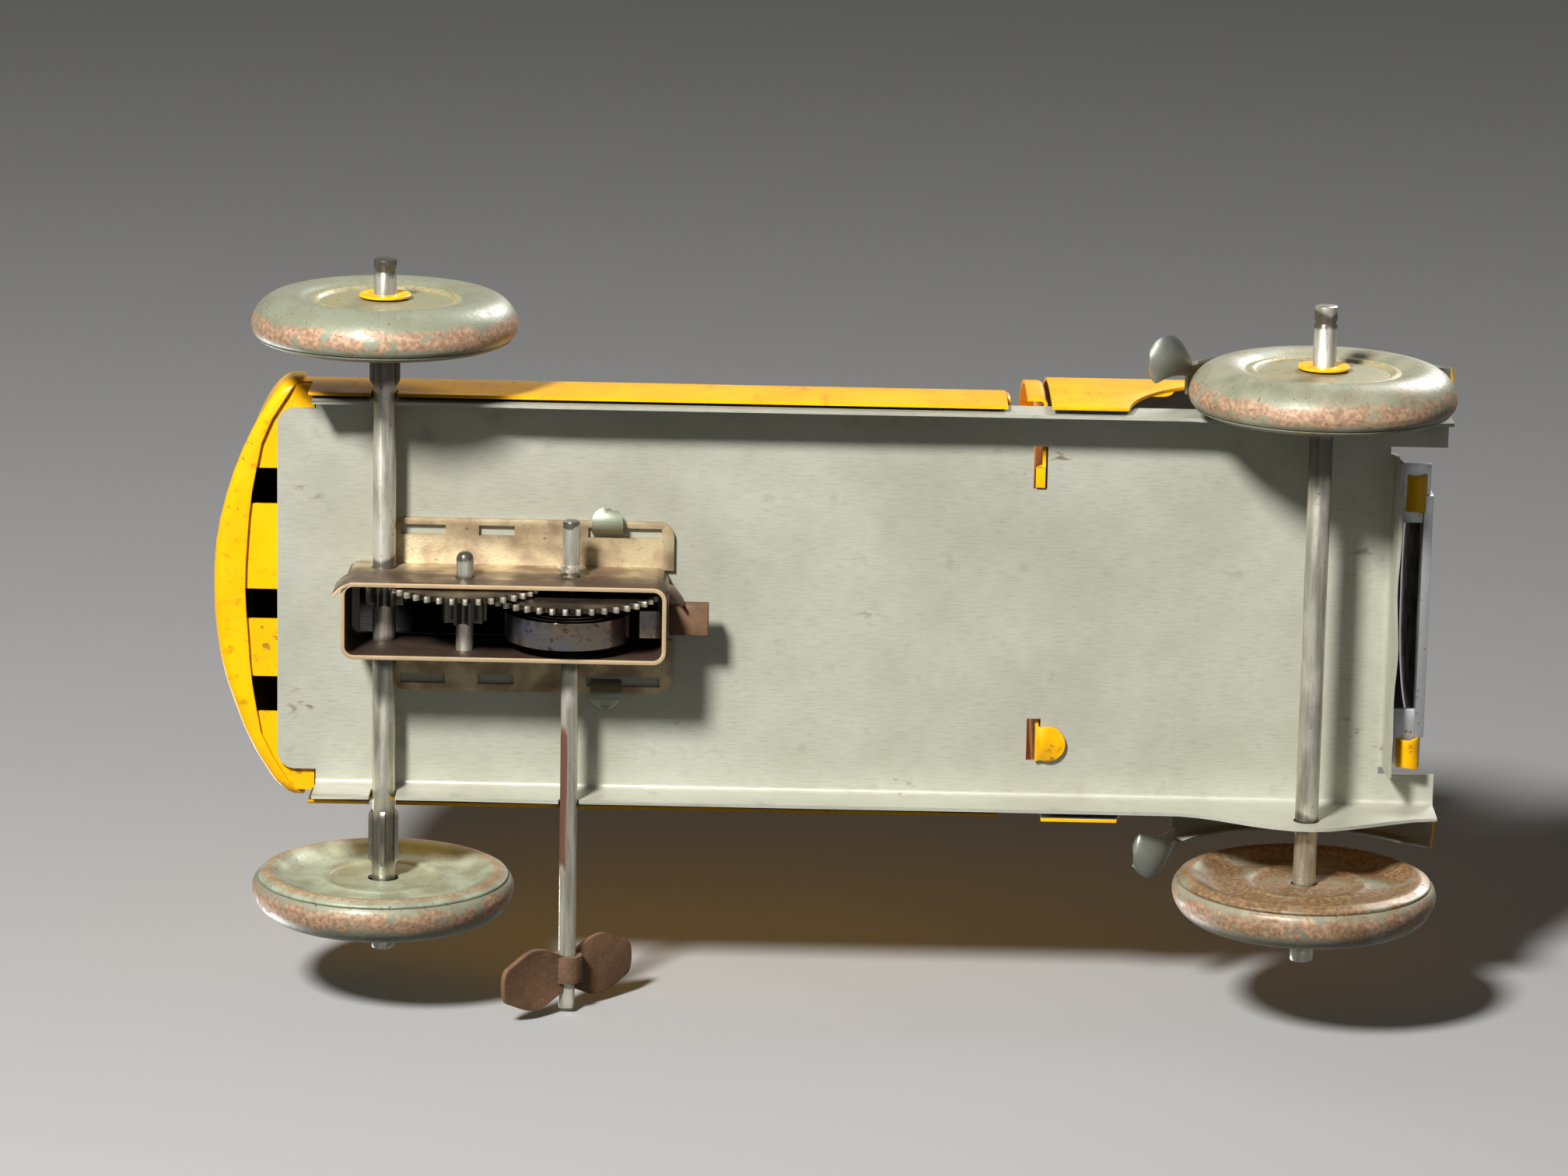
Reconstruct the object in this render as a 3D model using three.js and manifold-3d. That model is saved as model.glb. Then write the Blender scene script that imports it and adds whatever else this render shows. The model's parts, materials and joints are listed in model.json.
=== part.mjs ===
// Clockwork tin toy tanker truck.
// Millimetres, +Z up, +X forward, +Y to the truck's left.
// The sub-parts are drawn in the base plate's own frame: x from the rear axle, y from the plate's
// centre line, z up from the plate's underside. The whole group then tips nose up by a few degrees,
// so that four equal wheels stand on one floor, and moves so that the origin is on the floor under
// the middle of its box.

import * as THREE from "three";
import { mergeVertices } from "three/addons/utils/BufferGeometryUtils.js";
import Module from "manifold-3d";

const wasm = await Module();
wasm.setup();

// ---------------------------------------------------------------- driving dimensions

const GAP = 0.3;
const SHEET = 0.6;
const REACH = 400;

const WHEELBASE = 161;
const WHEEL_RADIUS = 23;
const WHEEL_HALF_WIDTH = 4.2;
const WHEEL_SIDES = 24;
const AXLE_RADIUS = 2;
const AXLE_BORE = AXLE_RADIUS + GAP;
const REAR_AXLE_Z = -4.5;
const FRONT_AXLE_Z = -12;
const REAR_WHEEL_Y = { right: -49.5, left: 53.1 };
const FRONT_WHEEL_Y = { right: -41.6, left: 48.7 };
const REAR_AXLE_ENDS = [-59.7, 63.3];
const FRONT_AXLE_ENDS = [-56.1, 60];
const REAR_FINS = [[-44.2, -37.2], [37.8, 48.4]];

const PLATE_REAR = -19;
const PLATE_FRONT = 175.5;
const PLATE_HALF_WIDTH = 35.4;
const PLATE_CORNER = 3;
const PLATE_TAIL_HALF_WIDTH = 32.3;
const FLANGE_REAR = -12.3;
const FLANGE_FRONT = 184;
const FLANGE_DEPTH = 9;
const FLANGE_LOBE_DEPTH = 17.7;
const FLANGE_LOBE_REACH = 24;
const FRONT_FLANGE_DEPTH = 8;
const FRONT_FLANGE_HALF_WIDTH = 28;
const EAR_INNER_Y = 29.3;

const TANK_HALF_WIDTH = PLATE_HALF_WIDTH + 2 * GAP + SHEET;
const TANK_HEIGHT = 50;
const TANK_FRONT = 107.4;
const SKIRT_DEPTH = 8.5;
const SKIRT_REAR = -13;
const BOW_REAR = -30.3;
const BOW_RISE = 11.3;
const LIP_RISE = 5.2;
const CAP_BAND = 6;
const CAP_SIDE_BAND = 3.4;
const CAP_TUCK = 4;
const FLOOR_STRIP_Z = SHEET + GAP;
const FLOOR_SLOTS = [[-21.4, -15], [0.2, 5.6], [15.9, 22.3]];
const FILLER_X = [2, 41, 80];
const FILLER_RADIUS = 7.5;

const CAB_HALF_WIDTH = 36.9;
const CAB_HEIGHT = 54;
const CAB_BACK_X = 111;
const CAB_BACK_RIM = 3.5;
const CAB_REAR = 115;
const CAB_FRONT = 148;
const WHEEL_ARCH_RADIUS = 33;
const SLOT_X = [112.4, 114.8];
const SLOT_Y = [20.6, 28.1];

const BONNET_REAR = CAB_FRONT + GAP;
const BONNET_FRONT = 179.6;
const BONNET_HALF_WIDTH = 27;
const BONNET_HEIGHT = 33;
const BONNET_TAPER = 0.8;
const BONNET_FALL = 0.88;
const GRILLE_THICKNESS = 1.6;

const WING_RADIUS = 26.6;
const WING_INNER_Y = 36.4;
const WING_OUTER_Y = 43.4;
const TONGUE_INNER_Y = 39;
const TONGUE_OUTER_Y = 48.4;
const WING_FRONT_ANGLE = 30;
const WING_REAR_ANGLE = 146;
const LAMP = { x: 171, y: 33, z: 24 };

const MODULE = 0.72;
const PINION_TEETH = 9;
const SECOND_TEETH = 35;
const GREAT_TEETH = 42;
const SECOND_X = 14.4;
const ARBOR_RADIUS = 1.5;
const SECOND_RADIUS = 1.5;
const secondReach = MODULE * (PINION_TEETH + SECOND_TEETH) / 2;
const greatReach = MODULE * (PINION_TEETH + GREAT_TEETH) / 2;
const SECOND_Z = REAR_AXLE_Z - Math.sqrt(secondReach ** 2 - SECOND_X ** 2);
const ARBOR_Z = -8.7;
const ARBOR_X = SECOND_X + Math.sqrt(greatReach ** 2 - (ARBOR_Z - SECOND_Z) ** 2);
const AXLE_TO_SECOND = Math.atan2(SECOND_Z - REAR_AXLE_Z, SECOND_X);
const SECOND_TO_ARBOR = Math.atan2(ARBOR_Z - SECOND_Z, ARBOR_X - SECOND_X);

const SECOND_GEAR_Y = [-4.4, -3.4];
const SECOND_PINION_Y = [-3.1, 2.4];
const AXLE_PINION_Y = [-4.4, 1];
const GREAT_Y = [-3, -2];
const CLICK_Y = [-1.7, -0.8];
const SPRING_Y = [0.5, 5.4];

const FRAME_X = [-6.6, 49.4];
const FRAME_Y = [-5.4, 8.1];
const FRAME_DEPTH = 17.3;
const FRAME_SHEET = 0.7;
const FRAME_Y_INSIDE = [FRAME_Y[0] + FRAME_SHEET, FRAME_Y[1] - FRAME_SHEET];
const FOOT_X = [1.5, 50.2];
const FOOT_RIGHT = -13.4;
const FOOT_LEFT = 17.4;
const FOOT_TOP = -GAP;
const LUG_X = [36.6, 41.4];

const ARBOR_ENDS = [-15.2, 72.5];
const KEY_Y = [60.5, 71.2];
const KEY_HALF_SPAN = 15.2;
const KEY_SHOULDER = 9;
const KEY_SHEET = 1.1;
const KEY_LEAN = 44;

// ---------------------------------------------------------------- materials

function paint(hex, roughness, metalness) {
  return new THREE.MeshStandardMaterial({ color: hex, roughness, metalness });
}

const yellow = paint(0xe8a800, 0.4, 0);
const tinplate = paint(0xa3a396, 0.45, 0.85);
const wheelPaint = paint(0x74776a, 0.6, 0.2);
const steel = paint(0x9a9a90, 0.4, 0.9);
const springSteel = paint(0x3c3a38, 0.35, 0.9);
const brassy = paint(0x9a7c52, 0.45, 0.85);
const rusty = paint(0x4a2f22, 0.8, 0.3);
const silver = paint(0xb9bdc0, 0.3, 0.9);

// ---------------------------------------------------------------- solids

/** A closed manifold solid from any closed three.js geometry, whichever way its faces wind. */
function solid(geometry) {
  const bare = geometry.index ? geometry.toNonIndexed() : geometry.clone();
  bare.deleteAttribute("normal");
  bare.deleteAttribute("uv");
  const merged = mergeVertices(bare, 1e-4);
  const vertProperties = new Float32Array(merged.attributes.position.array);
  const triVerts = new Uint32Array(merged.index.array);
  const made = new wasm.Manifold(new wasm.Mesh({ numProp: 3, vertProperties, triVerts }));
  if (made.volume() > 0) {
    return made;
  }
  for (let i = 0; i < triVerts.length; i += 3) {
    [triVerts[i], triVerts[i + 1]] = [triVerts[i + 1], triVerts[i]];
  }
  return new wasm.Manifold(new wasm.Mesh({ numProp: 3, vertProperties, triVerts }));
}

function union(first, ...others) {
  return others.reduce((sum, next) => sum.add(next), first);
}

function without(first, ...others) {
  return others.reduce((rest, next) => rest.subtract(next), first);
}

/** A named mesh from a manifold solid. */
function part(name, body, material) {
  const result = body.getMesh();
  const geometry = new THREE.BufferGeometry();
  const stride = result.numProp;
  const count = result.vertProperties.length / stride;
  const positions = new Float32Array(count * 3);
  for (let i = 0; i < count; i += 1) {
    for (let k = 0; k < 3; k += 1) {
      positions[3 * i + k] = result.vertProperties[stride * i + k];
    }
  }
  geometry.setAttribute("position", new THREE.BufferAttribute(positions, 3));
  geometry.setIndex(new THREE.BufferAttribute(new Uint32Array(result.triVerts), 1));
  geometry.computeVertexNormals();
  const mesh = new THREE.Mesh(geometry, material);
  mesh.name = name;
  return mesh;
}

// ---------------------------------------------------------------- shape helpers

/** A closed outline; a point that repeats the one before it, or the first, is dropped. */
function outline(points) {
  const corners = points.map(([u, v]) => new THREE.Vector2(u, v));
  const kept = corners.filter((corner, i) => corner.distanceTo(corners.at(i - 1)) > 1e-4);
  return new THREE.Shape(kept);
}

function extrude(shape, depth, curveSegments = 12) {
  return new THREE.ExtrudeGeometry(shape, { depth, bevelEnabled: false, curveSegments });
}

/** A shape drawn in x and y, raised from z0 to z1. */
function upright(shape, z0, z1) {
  return solid(extrude(shape, z1 - z0).translate(0, 0, z0));
}

/** A shape drawn in x and z, drawn out from y0 to y1. */
function across(shape, y0, y1) {
  return solid(extrude(shape, y1 - y0).rotateX(Math.PI / 2).translate(0, y1, 0));
}

/** A shape drawn in y and z, drawn out from x0 to x1. */
function along(shape, x0, x1) {
  const turn = new THREE.Matrix4().set(0, 0, 1, 0, 1, 0, 0, 0, 0, 1, 0, 0, 0, 0, 0, 1);
  return solid(extrude(shape, x1 - x0).applyMatrix4(turn).translate(x0, 0, 0));
}

function box(x0, x1, y0, y1, z0, z1) {
  const block = new THREE.BoxGeometry(x1 - x0, y1 - y0, z1 - z0);
  return solid(block.translate((x0 + x1) / 2, (y0 + y1) / 2, (z0 + z1) / 2));
}

/** A round bar along y. */
function bar(x, z, radius, y0, y1, sides = 16) {
  const rod = new THREE.CylinderGeometry(radius, radius, y1 - y0, sides);
  return solid(rod.translate(x, (y0 + y1) / 2, z));
}

/** A profile of [radius, y] points turned about y, standing at x and z. */
function turned(profile, x, z, segments = 32) {
  const points = profile.map(([radius, y]) => new THREE.Vector2(radius, y));
  return solid(new THREE.LatheGeometry(points, segments).translate(x, 0, z));
}

function arcPoints(cx, cy, radius, fromDegrees, toDegrees, steps) {
  return Array.from({ length: steps + 1 }, (_, i) => {
    const angle = THREE.MathUtils.degToRad(fromDegrees + (toDegrees - fromDegrees) * i / steps);
    return [cx + radius * Math.cos(angle), cy + radius * Math.sin(angle)];
  });
}

/** An arch in y and z, cut off level at footZ; below 0 its legs run straight down. */
function archShape(halfWidth, height, footZ, squareness, steps = 20) {
  const power = 2 / squareness;
  const top = Array.from({ length: steps + 1 }, (_, i) => {
    const angle = Math.PI * i / steps;
    const c = Math.cos(angle);
    const s = Math.sin(angle);
    return [halfWidth * Math.sign(c) * Math.abs(c) ** power, height * Math.abs(s) ** power];
  });
  const lift = Math.max(footZ, 0) / height;
  const footY = halfWidth * (1 - lift ** squareness) ** (1 / squareness);
  return outline([[-footY, footZ], [footY, footZ], ...top.filter(([, z]) => z > footZ)]);
}

/** Phase that puts a tooth at an angle, or a gap there for the gear that it meshes with. */
function toothAt(angle, teeth) {
  return angle * teeth / (2 * Math.PI);
}

function gapAt(angle, teeth) {
  return toothAt(angle, teeth) - 0.5;
}

/** Gear outline in x and z with straight-flanked teeth; phase turns it by a fraction of a tooth. */
function gearShape(teeth, phase, bore) {
  const pitch = MODULE * teeth / 2;
  const tip = pitch + 0.92 * MODULE;
  const root = pitch - 1.15 * MODULE;
  const points = [];
  for (let i = 0; i < teeth; i += 1) {
    const middle = (i + phase) * 2 * Math.PI / teeth;
    const step = 2 * Math.PI / teeth;
    const corners = [[root, -0.33], [tip, -0.12], [tip, 0.12], [root, 0.33]];
    for (const [radius, share] of corners) {
      const angle = middle + share * step;
      points.push([radius * Math.cos(angle), radius * Math.sin(angle)]);
    }
  }
  const shape = outline(points);
  const hole = new THREE.Path();
  hole.absarc(0, 0, bore, 0, 2 * Math.PI, true);
  shape.holes.push(hole);
  return shape;
}

function gear(teeth, phase, bore, x, z, y0, y1) {
  return across(gearShape(teeth, phase, bore), y0, y1).translate([x, 0, z]);
}

// ---------------------------------------------------------------- base plate

/** Depth of the side flange at x: a level edge that swells into a lobe at the front axle. */
function flangeDepth(x) {
  const away = Math.min(Math.abs(x - WHEELBASE) / FLANGE_LOBE_REACH, 1);
  return FLANGE_DEPTH + (FLANGE_LOBE_DEPTH - FLANGE_DEPTH) * (0.5 + 0.5 * Math.cos(Math.PI * away));
}

function sideFlange(side) {
  const steps = 16;
  const lobeStart = WHEELBASE - FLANGE_LOBE_REACH;
  const lower = [[FLANGE_REAR, -FLANGE_DEPTH]];
  for (let i = 0; i <= steps; i += 1) {
    const x = lobeStart + (FLANGE_FRONT - lobeStart) * i / steps;
    lower.push([x, -flangeDepth(x)]);
  }
  const shape = outline([...lower, [FLANGE_FRONT, SHEET], [FLANGE_REAR, SHEET]]);
  const outer = side * PLATE_HALF_WIDTH;
  const inner = side * (PLATE_HALF_WIDTH - SHEET);
  const sheet = across(shape, Math.min(inner, outer), Math.max(inner, outer));
  return sheet.subtract(bar(WHEELBASE, FRONT_AXLE_Z, AXLE_BORE, -REACH, REACH));
}

/** The open notches that let the axle and the winding arbor drop into the flange from below. */
function shaftNotches() {
  const axleNotch = union(
    bar(0, REAR_AXLE_Z, AXLE_BORE, -REACH, REACH),
    box(-AXLE_BORE, AXLE_BORE, -REACH, REACH, -REACH, REAR_AXLE_Z),
  );
  const bore = ARBOR_RADIUS + GAP;
  const arborNotch = union(
    bar(ARBOR_X, ARBOR_Z, bore, 0, REACH),
    box(ARBOR_X - bore, ARBOR_X + bore, 0, REACH, -REACH, ARBOR_Z),
  );
  return axleNotch.add(arborNotch);
}

/** A tongue of the plate that goes round a motor foot's edge and folds back over it. */
function motorLug(edgeY, inward) {
  const outer = edgeY - inward * (GAP + SHEET);
  const tip = edgeY + inward * 4.5;
  const rise = [Math.min(outer, outer + inward * SHEET), Math.max(outer, outer + inward * SHEET)];
  const fold = [Math.min(outer, tip), Math.max(outer, tip)];
  const foldZ = FOOT_TOP - FRAME_SHEET - 2 * GAP;
  return union(
    box(...LUG_X, ...rise, foldZ - SHEET, SHEET / 2),
    box(...LUG_X, ...fold, foldZ - SHEET, foldZ),
  );
}

function basePlate() {
  const w = PLATE_HALF_WIDTH - SHEET / 2;
  const tail = PLATE_TAIL_HALF_WIDTH;
  const cornerX = PLATE_REAR + PLATE_CORNER;
  const sheetShape = outline([
    [PLATE_FRONT, -w], [PLATE_FRONT, w], [FLANGE_REAR, w], [FLANGE_REAR, tail],
    ...arcPoints(cornerX, tail - PLATE_CORNER, PLATE_CORNER, 90, 180, 5),
    ...arcPoints(cornerX, PLATE_CORNER - tail, PLATE_CORNER, 180, 270, 5),
    [FLANGE_REAR, -tail], [FLANGE_REAR, -w],
  ]);
  const sheet = without(
    upright(sheetShape, 0, SHEET),
    box(FRAME_X[0] + 2, FRAME_X[1] - 2, ...FRAME_Y_INSIDE, -1, 2),
    box(...SLOT_X, ...SLOT_Y, -1, 2),
    box(...SLOT_X, -SLOT_Y[1], -SLOT_Y[0], -1, 2),
  );
  const ears = [-1, 1].map((side) => {
    const y = [side * EAR_INNER_Y, side * w].sort((a, b) => a - b);
    return box(PLATE_FRONT - 1, FLANGE_FRONT, ...y, 0, SHEET);
  });
  const frontFlange = box(
    PLATE_FRONT - SHEET, PLATE_FRONT,
    -FRONT_FLANGE_HALF_WIDTH, FRONT_FLANGE_HALF_WIDTH,
    -FRONT_FLANGE_DEPTH, SHEET,
  );
  const flanges = sideFlange(-1).add(sideFlange(1)).subtract(shaftNotches());
  const lugs = motorLug(FOOT_RIGHT, 1).add(motorLug(FOOT_LEFT, -1));
  return part("base_plate", union(sheet, ...ears, frontFlange, flanges, lugs), tinplate);
}

// ---------------------------------------------------------------- tank

/** Everything in front of a wall bowed in plan, which stands rise proud of the plate's rear edge. */
function bowPrism(offset, rise = BOW_RISE) {
  const chord = PLATE_HALF_WIDTH;
  const radius = (chord ** 2 + rise ** 2) / (2 * rise);
  const centre = BOW_REAR + BOW_RISE - rise + radius + offset;
  const half = THREE.MathUtils.radToDeg(Math.asin((TANK_HALF_WIDTH + 4) / radius));
  const curve = arcPoints(centre, 0, radius, 180 + half, 180 - half, 20);
  const shape = outline([[REACH, curve[0][1]], [REACH, curve[20][1]], ...curve.reverse()]);
  return upright(shape, -REACH, REACH);
}

function tankShell() {
  const outer = archShape(TANK_HALF_WIDTH, TANK_HEIGHT, -SKIRT_DEPTH, 2);
  const inner = archShape(TANK_HALF_WIDTH - SHEET, TANK_HEIGHT - SHEET, -REACH, 2);
  const arch = without(
    along(outer, -40, TANK_FRONT).intersect(bowPrism(SHEET + GAP)),
    along(inner, -60, TANK_FRONT + 10),
    box(-60, SKIRT_REAR, -REACH, REACH, -REACH, FLOOR_STRIP_Z),
    shaftNotches(),
  );
  const stripY = TANK_HALF_WIDTH - SHEET / 2;
  const strip = without(
    box(-40, FLANGE_REAR - GAP, -stripY, stripY, FLOOR_STRIP_Z, FLOOR_STRIP_Z + SHEET)
      .intersect(bowPrism(SHEET + GAP)),
    ...FLOOR_SLOTS.map(([y0, y1]) => box(BOW_REAR + CAP_BAND - 1, PLATE_REAR + 2.5, y0, y1, -2, 4)),
  );
  return part("tank_shell", arch.add(strip), yellow);
}

function tankRearCap() {
  const clear = SHEET + GAP;
  const outer = archShape(TANK_HALF_WIDTH + clear, TANK_HEIGHT + clear, 0, 2);
  const inner = archShape(TANK_HALF_WIDTH + GAP, TANK_HEIGHT + GAP, SHEET, 2);
  const lid = along(outer, -60, 20).intersect(bowPrism(0));
  const hollow = along(inner, -70, 30).intersect(bowPrism(SHEET));
  const lipCut = bowPrism(-GAP, LIP_RISE).intersect(box(-60, 60, -60, 60, -1, SHEET + 0.1));
  const sideCut = bowPrism(CAP_SIDE_BAND).intersect(box(-60, 60, -60, 60, SHEET, 60));
  return part("tank_rear_cap", without(lid, hollow, sideCut, lipCut), yellow);
}

function tankFrontCap() {
  const clear = SHEET + GAP;
  const arch = (inset, footZ) => archShape(TANK_HALF_WIDTH - inset, TANK_HEIGHT - inset, footZ, 2);
  const wall = along(arch(GAP / 2, clear), TANK_FRONT + GAP, TANK_FRONT + clear);
  const lip = along(arch(clear, clear), TANK_FRONT - CAP_TUCK, TANK_FRONT + clear);
  const core = along(arch(clear + SHEET, clear + SHEET), -REACH, TANK_FRONT + GAP);
  return part("tank_front_cap", wall.add(lip).subtract(core), yellow);
}

/** A pressed filler cap: a short neck that follows the tank's crown, and a domed lid. */
function fillerCap(index) {
  const profile = [
    [0, -6], [FILLER_RADIUS - 2, -6], [FILLER_RADIUS - 2, 1.4], [FILLER_RADIUS, 1.4],
    [FILLER_RADIUS, 3.2], [FILLER_RADIUS - 1.2, 4.2], [FILLER_RADIUS - 3.6, 5.1], [0, 5.5],
  ];
  const points = profile.map(([radius, y]) => new THREE.Vector2(radius, y));
  const lathe = new THREE.LatheGeometry(points, 16).rotateX(Math.PI / 2);
  const cap = solid(lathe.translate(FILLER_X[index], 0, TANK_HEIGHT));
  const crown = archShape(TANK_HALF_WIDTH + GAP, TANK_HEIGHT + GAP, -10, 2);
  return part(`filler_cap_${index + 1}`, cap.subtract(along(crown, -60, REACH)), yellow);
}

// ---------------------------------------------------------------- cab and bonnet

function cabSection(inset, footZ) {
  return archShape(CAB_HALF_WIDTH - inset, CAB_HEIGHT - inset, footZ, 2.9);
}

/** The cab's side view: an upright back, a raked screen and a domed roof line. */
function cabProfile(inset, backX, footZ) {
  const front = CAB_FRONT - inset;
  const top = CAB_HEIGHT + 2 - inset;
  return outline([
    [backX, footZ], [front, footZ], [front, BONNET_HEIGHT - 1], [front - 3.5, top - 7],
    [front - 8, top - 2.6], [front - 16, top], [backX, top],
  ]);
}

function cabShell() {
  const outer = along(cabSection(0, -SKIRT_DEPTH), CAB_REAR, CAB_FRONT)
    .intersect(across(cabProfile(0, CAB_REAR, -SKIRT_DEPTH), -REACH, REACH));
  const inner = along(cabSection(SHEET, -REACH), CAB_REAR - 5, CAB_FRONT)
    .intersect(across(cabProfile(SHEET, CAB_REAR - 5, -REACH), -REACH, REACH));
  const sill = [18.5, 23.5];
  const windows = [-1, 1].map((side) => {
    const pane = outline([
      [CAB_REAR + 6, 27], [CAB_FRONT - 7.5, 27], [CAB_FRONT - 9.2, 41.2], [CAB_REAR + 6, 41.2],
    ]);
    const y = [side * sill[0], side * 60].sort((a, b) => a - b);
    return across(pane, ...y);
  });
  const screens = [[-22.4, -1.5], [1.5, 22.4]].map(([y0, y1]) => {
    const pane = outline([[y0, 35.5], [y1, 35.5], [y1 * 0.94, 46], [y0 * 0.94, 46]]);
    return along(pane, CAB_FRONT - 9, CAB_FRONT + 5);
  });
  const arch = bar(WHEELBASE, FRONT_AXLE_Z, WHEEL_ARCH_RADIUS, -REACH, REACH, 48);
  const floorY = PLATE_HALF_WIDTH + GAP;
  const floorCut = box(CAB_REAR - 1, FLANGE_FRONT, -floorY, floorY, -REACH, SHEET + GAP);
  return part("cab_shell", without(outer, inner, arch, floorCut, ...windows, ...screens), yellow);
}

/** Back panel of the cab with a folded rim, and the two tabs that lock into the plate's slots. */
function cabBack() {
  const foot = SHEET + GAP;
  const rimTop = cabSection(0.5, foot);
  const hollow = cabSection(0.5 + SHEET, foot + SHEET);
  const panelX = CAB_BACK_X + CAB_BACK_RIM - SHEET;
  const shell = without(
    along(rimTop, CAB_BACK_X, CAB_BACK_X + CAB_BACK_RIM),
    along(hollow, CAB_BACK_X - 5, panelX),
    along(outline([[-13, 30], [13, 30], [12, 42], [-12, 42]]), CAB_BACK_X, CAB_REAR + 5),
  );
  const tabs = [-1, 1].map((side) => {
    const y = [side * (SLOT_Y[0] + 1), side * (SLOT_Y[1] - 1)].sort((a, b) => a - b);
    return union(
      box(panelX, panelX + SHEET, ...y, -GAP - SHEET, foot + 1),
      box(panelX, panelX + SHEET + 4, ...y, -GAP - SHEET, -GAP),
    );
  });
  return part("cab_back", union(shell, ...tabs), yellow);
}

/** Narrows a solid from the cab to the grille by scaling each point's width and height. */
function tapered(geometry) {
  const position = geometry.attributes.position;
  for (let i = 0; i < position.count; i += 1) {
    const share = Math.max((position.getX(i) - BONNET_REAR) / (BONNET_FRONT - BONNET_REAR), 0);
    const z = position.getZ(i);
    position.setY(i, position.getY(i) * (1 - (1 - BONNET_TAPER) * share));
    position.setZ(i, z > 1 ? z * (1 - (1 - BONNET_FALL) * share) : z);
  }
  return geometry;
}

function bonnetBlock(inset, x0, x1, footZ) {
  const shape = archShape(BONNET_HALF_WIDTH - inset, BONNET_HEIGHT - inset, footZ, 2.8);
  const turn = new THREE.Matrix4().set(0, 0, 1, 0, 1, 0, 0, 0, 0, 1, 0, 0, 0, 0, 0, 1);
  return solid(tapered(extrude(shape, x1 - x0).applyMatrix4(turn).translate(x0, 0, 0)));
}

function bonnet() {
  const foot = SHEET + GAP;
  const body = bonnetBlock(0, BONNET_REAR, BONNET_FRONT, foot - 0.5);
  const hollow = bonnetBlock(SHEET, BONNET_REAR - 1, BONNET_FRONT + 1, -30);
  return part("bonnet", without(body, hollow, box(100, 200, -60, 60, -60, foot)), yellow);
}

/** Radiator front: a rounded frame with upright bars, and two tabs behind the front flange. */
function radiatorGrille() {
  const x0 = BONNET_FRONT + GAP;
  const x1 = x0 + GRILLE_THICKNESS;
  const halfWidth = BONNET_HALF_WIDTH * BONNET_TAPER;
  const height = BONNET_HEIGHT * BONNET_FALL;
  const face = along(archShape(halfWidth, height, -4, 2.8), x0, x1);
  const recess = along(archShape(halfWidth - 3, height - 3.4, 2, 2.8), x0 + SHEET, x1 + 1);
  const bars = [-3, -2, -1, 0, 1, 2, 3].map((i) => {
    return box(x0, x1 - 0.2, i * 4.6 - 0.8, i * 4.6 + 0.8, 1, height - 3);
  });
  const tabs = [-1, 1].map((side) => {
    const y = [side * (halfWidth - 5), side * (halfWidth + 5.5)].sort((a, b) => a - b);
    return box(PLATE_FRONT + GAP, x1 - 0.5, ...y, -3.4, -2.6);
  });
  return part("radiator_grille", union(face.subtract(recess), ...bars, ...tabs), silver);
}

/** Front wing: a rolled strip over the wheel, with a tongue behind it and a valance inboard. */
function wing(name, side) {
  const arc = (radius, from, to) => arcPoints(WHEELBASE, FRONT_AXLE_Z, radius, from, to, 18);
  const outerArc = arc(WING_RADIUS + SHEET, WING_FRONT_ANGLE, WING_REAR_ANGLE);
  const innerArc = arc(WING_RADIUS, WING_REAR_ANGLE, WING_FRONT_ANGLE);
  const y = [side * WING_INNER_Y, side * WING_OUTER_Y].sort((a, b) => a - b);
  const strip = across(outline([...outerArc, ...innerArc]), ...y);
  const [tailX, tailZ] = outerArc[outerArc.length - 1];
  const tongueShape = outline([
    [tailX + 0.9, tailZ + 0.9], [tailX - 2.4, -0.5], [tailX - 7, -2.4],
    [tailX - 7, -3], [tailX - 2.2, -1.3], [tailX + 1.2, tailZ + 0.1],
  ]);
  const tongueY = [side * TONGUE_INNER_Y, side * TONGUE_OUTER_Y].sort((a, b) => a - b);
  const tongue = across(tongueShape, ...tongueY);
  const webArc = arc(WING_RADIUS + 0.2, WING_REAR_ANGLE - 2, WING_FRONT_ANGLE);
  const web = [...webArc, [FLANGE_FRONT - 1, 2], [WHEELBASE, 6]].filter(([, z]) => z > 1);
  const webY = [side * WING_INNER_Y, side * (WING_INNER_Y + SHEET)].sort((a, b) => a - b);
  const valance = across(outline(web), ...webY);
  const cabY = CAB_HALF_WIDTH + GAP;
  const cabClear = box(CAB_REAR, CAB_FRONT + GAP, -cabY, cabY, -5, 60);
  return part(name, union(strip, tongue, valance).subtract(cabClear), yellow);
}

/** A bullet headlamp on a stalk that stands on the wing's valance. */
function headlamp(name, side) {
  const { x, z } = LAMP;
  const y = side * LAMP.y;
  const profile = [
    [0, -8], [2.4, -7.2], [4.3, -5], [5.3, -1.5], [5.6, 1.5], [6, 1.6], [6, 3], [4.8, 3.4], [0, 4.2],
  ];
  const points = profile.map(([radius, height]) => new THREE.Vector2(radius, height));
  const lathe = new THREE.LatheGeometry(points, 16).rotateZ(-Math.PI / 2);
  const lamp = solid(lathe.translate(x, y, z));
  const foot = [y, side * (WING_INNER_Y + 2.1)].sort((a, b) => a - b);
  const wingReach = WING_RADIUS + SHEET + GAP;
  const halfFoot = 1.6;
  const wingTop = FRONT_AXLE_Z + Math.sqrt(wingReach ** 2 - (x - WHEELBASE + halfFoot) ** 2) + 1.2;
  const bracket = box(x - halfFoot, x + halfFoot, ...foot, wingTop, wingTop + 1);
  const stalk = box(x - 1, x + 1, y - 1, y + 1, wingTop, z);
  return part(name, union(lamp, bracket, stalk), silver);
}

// ---------------------------------------------------------------- motor

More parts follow.
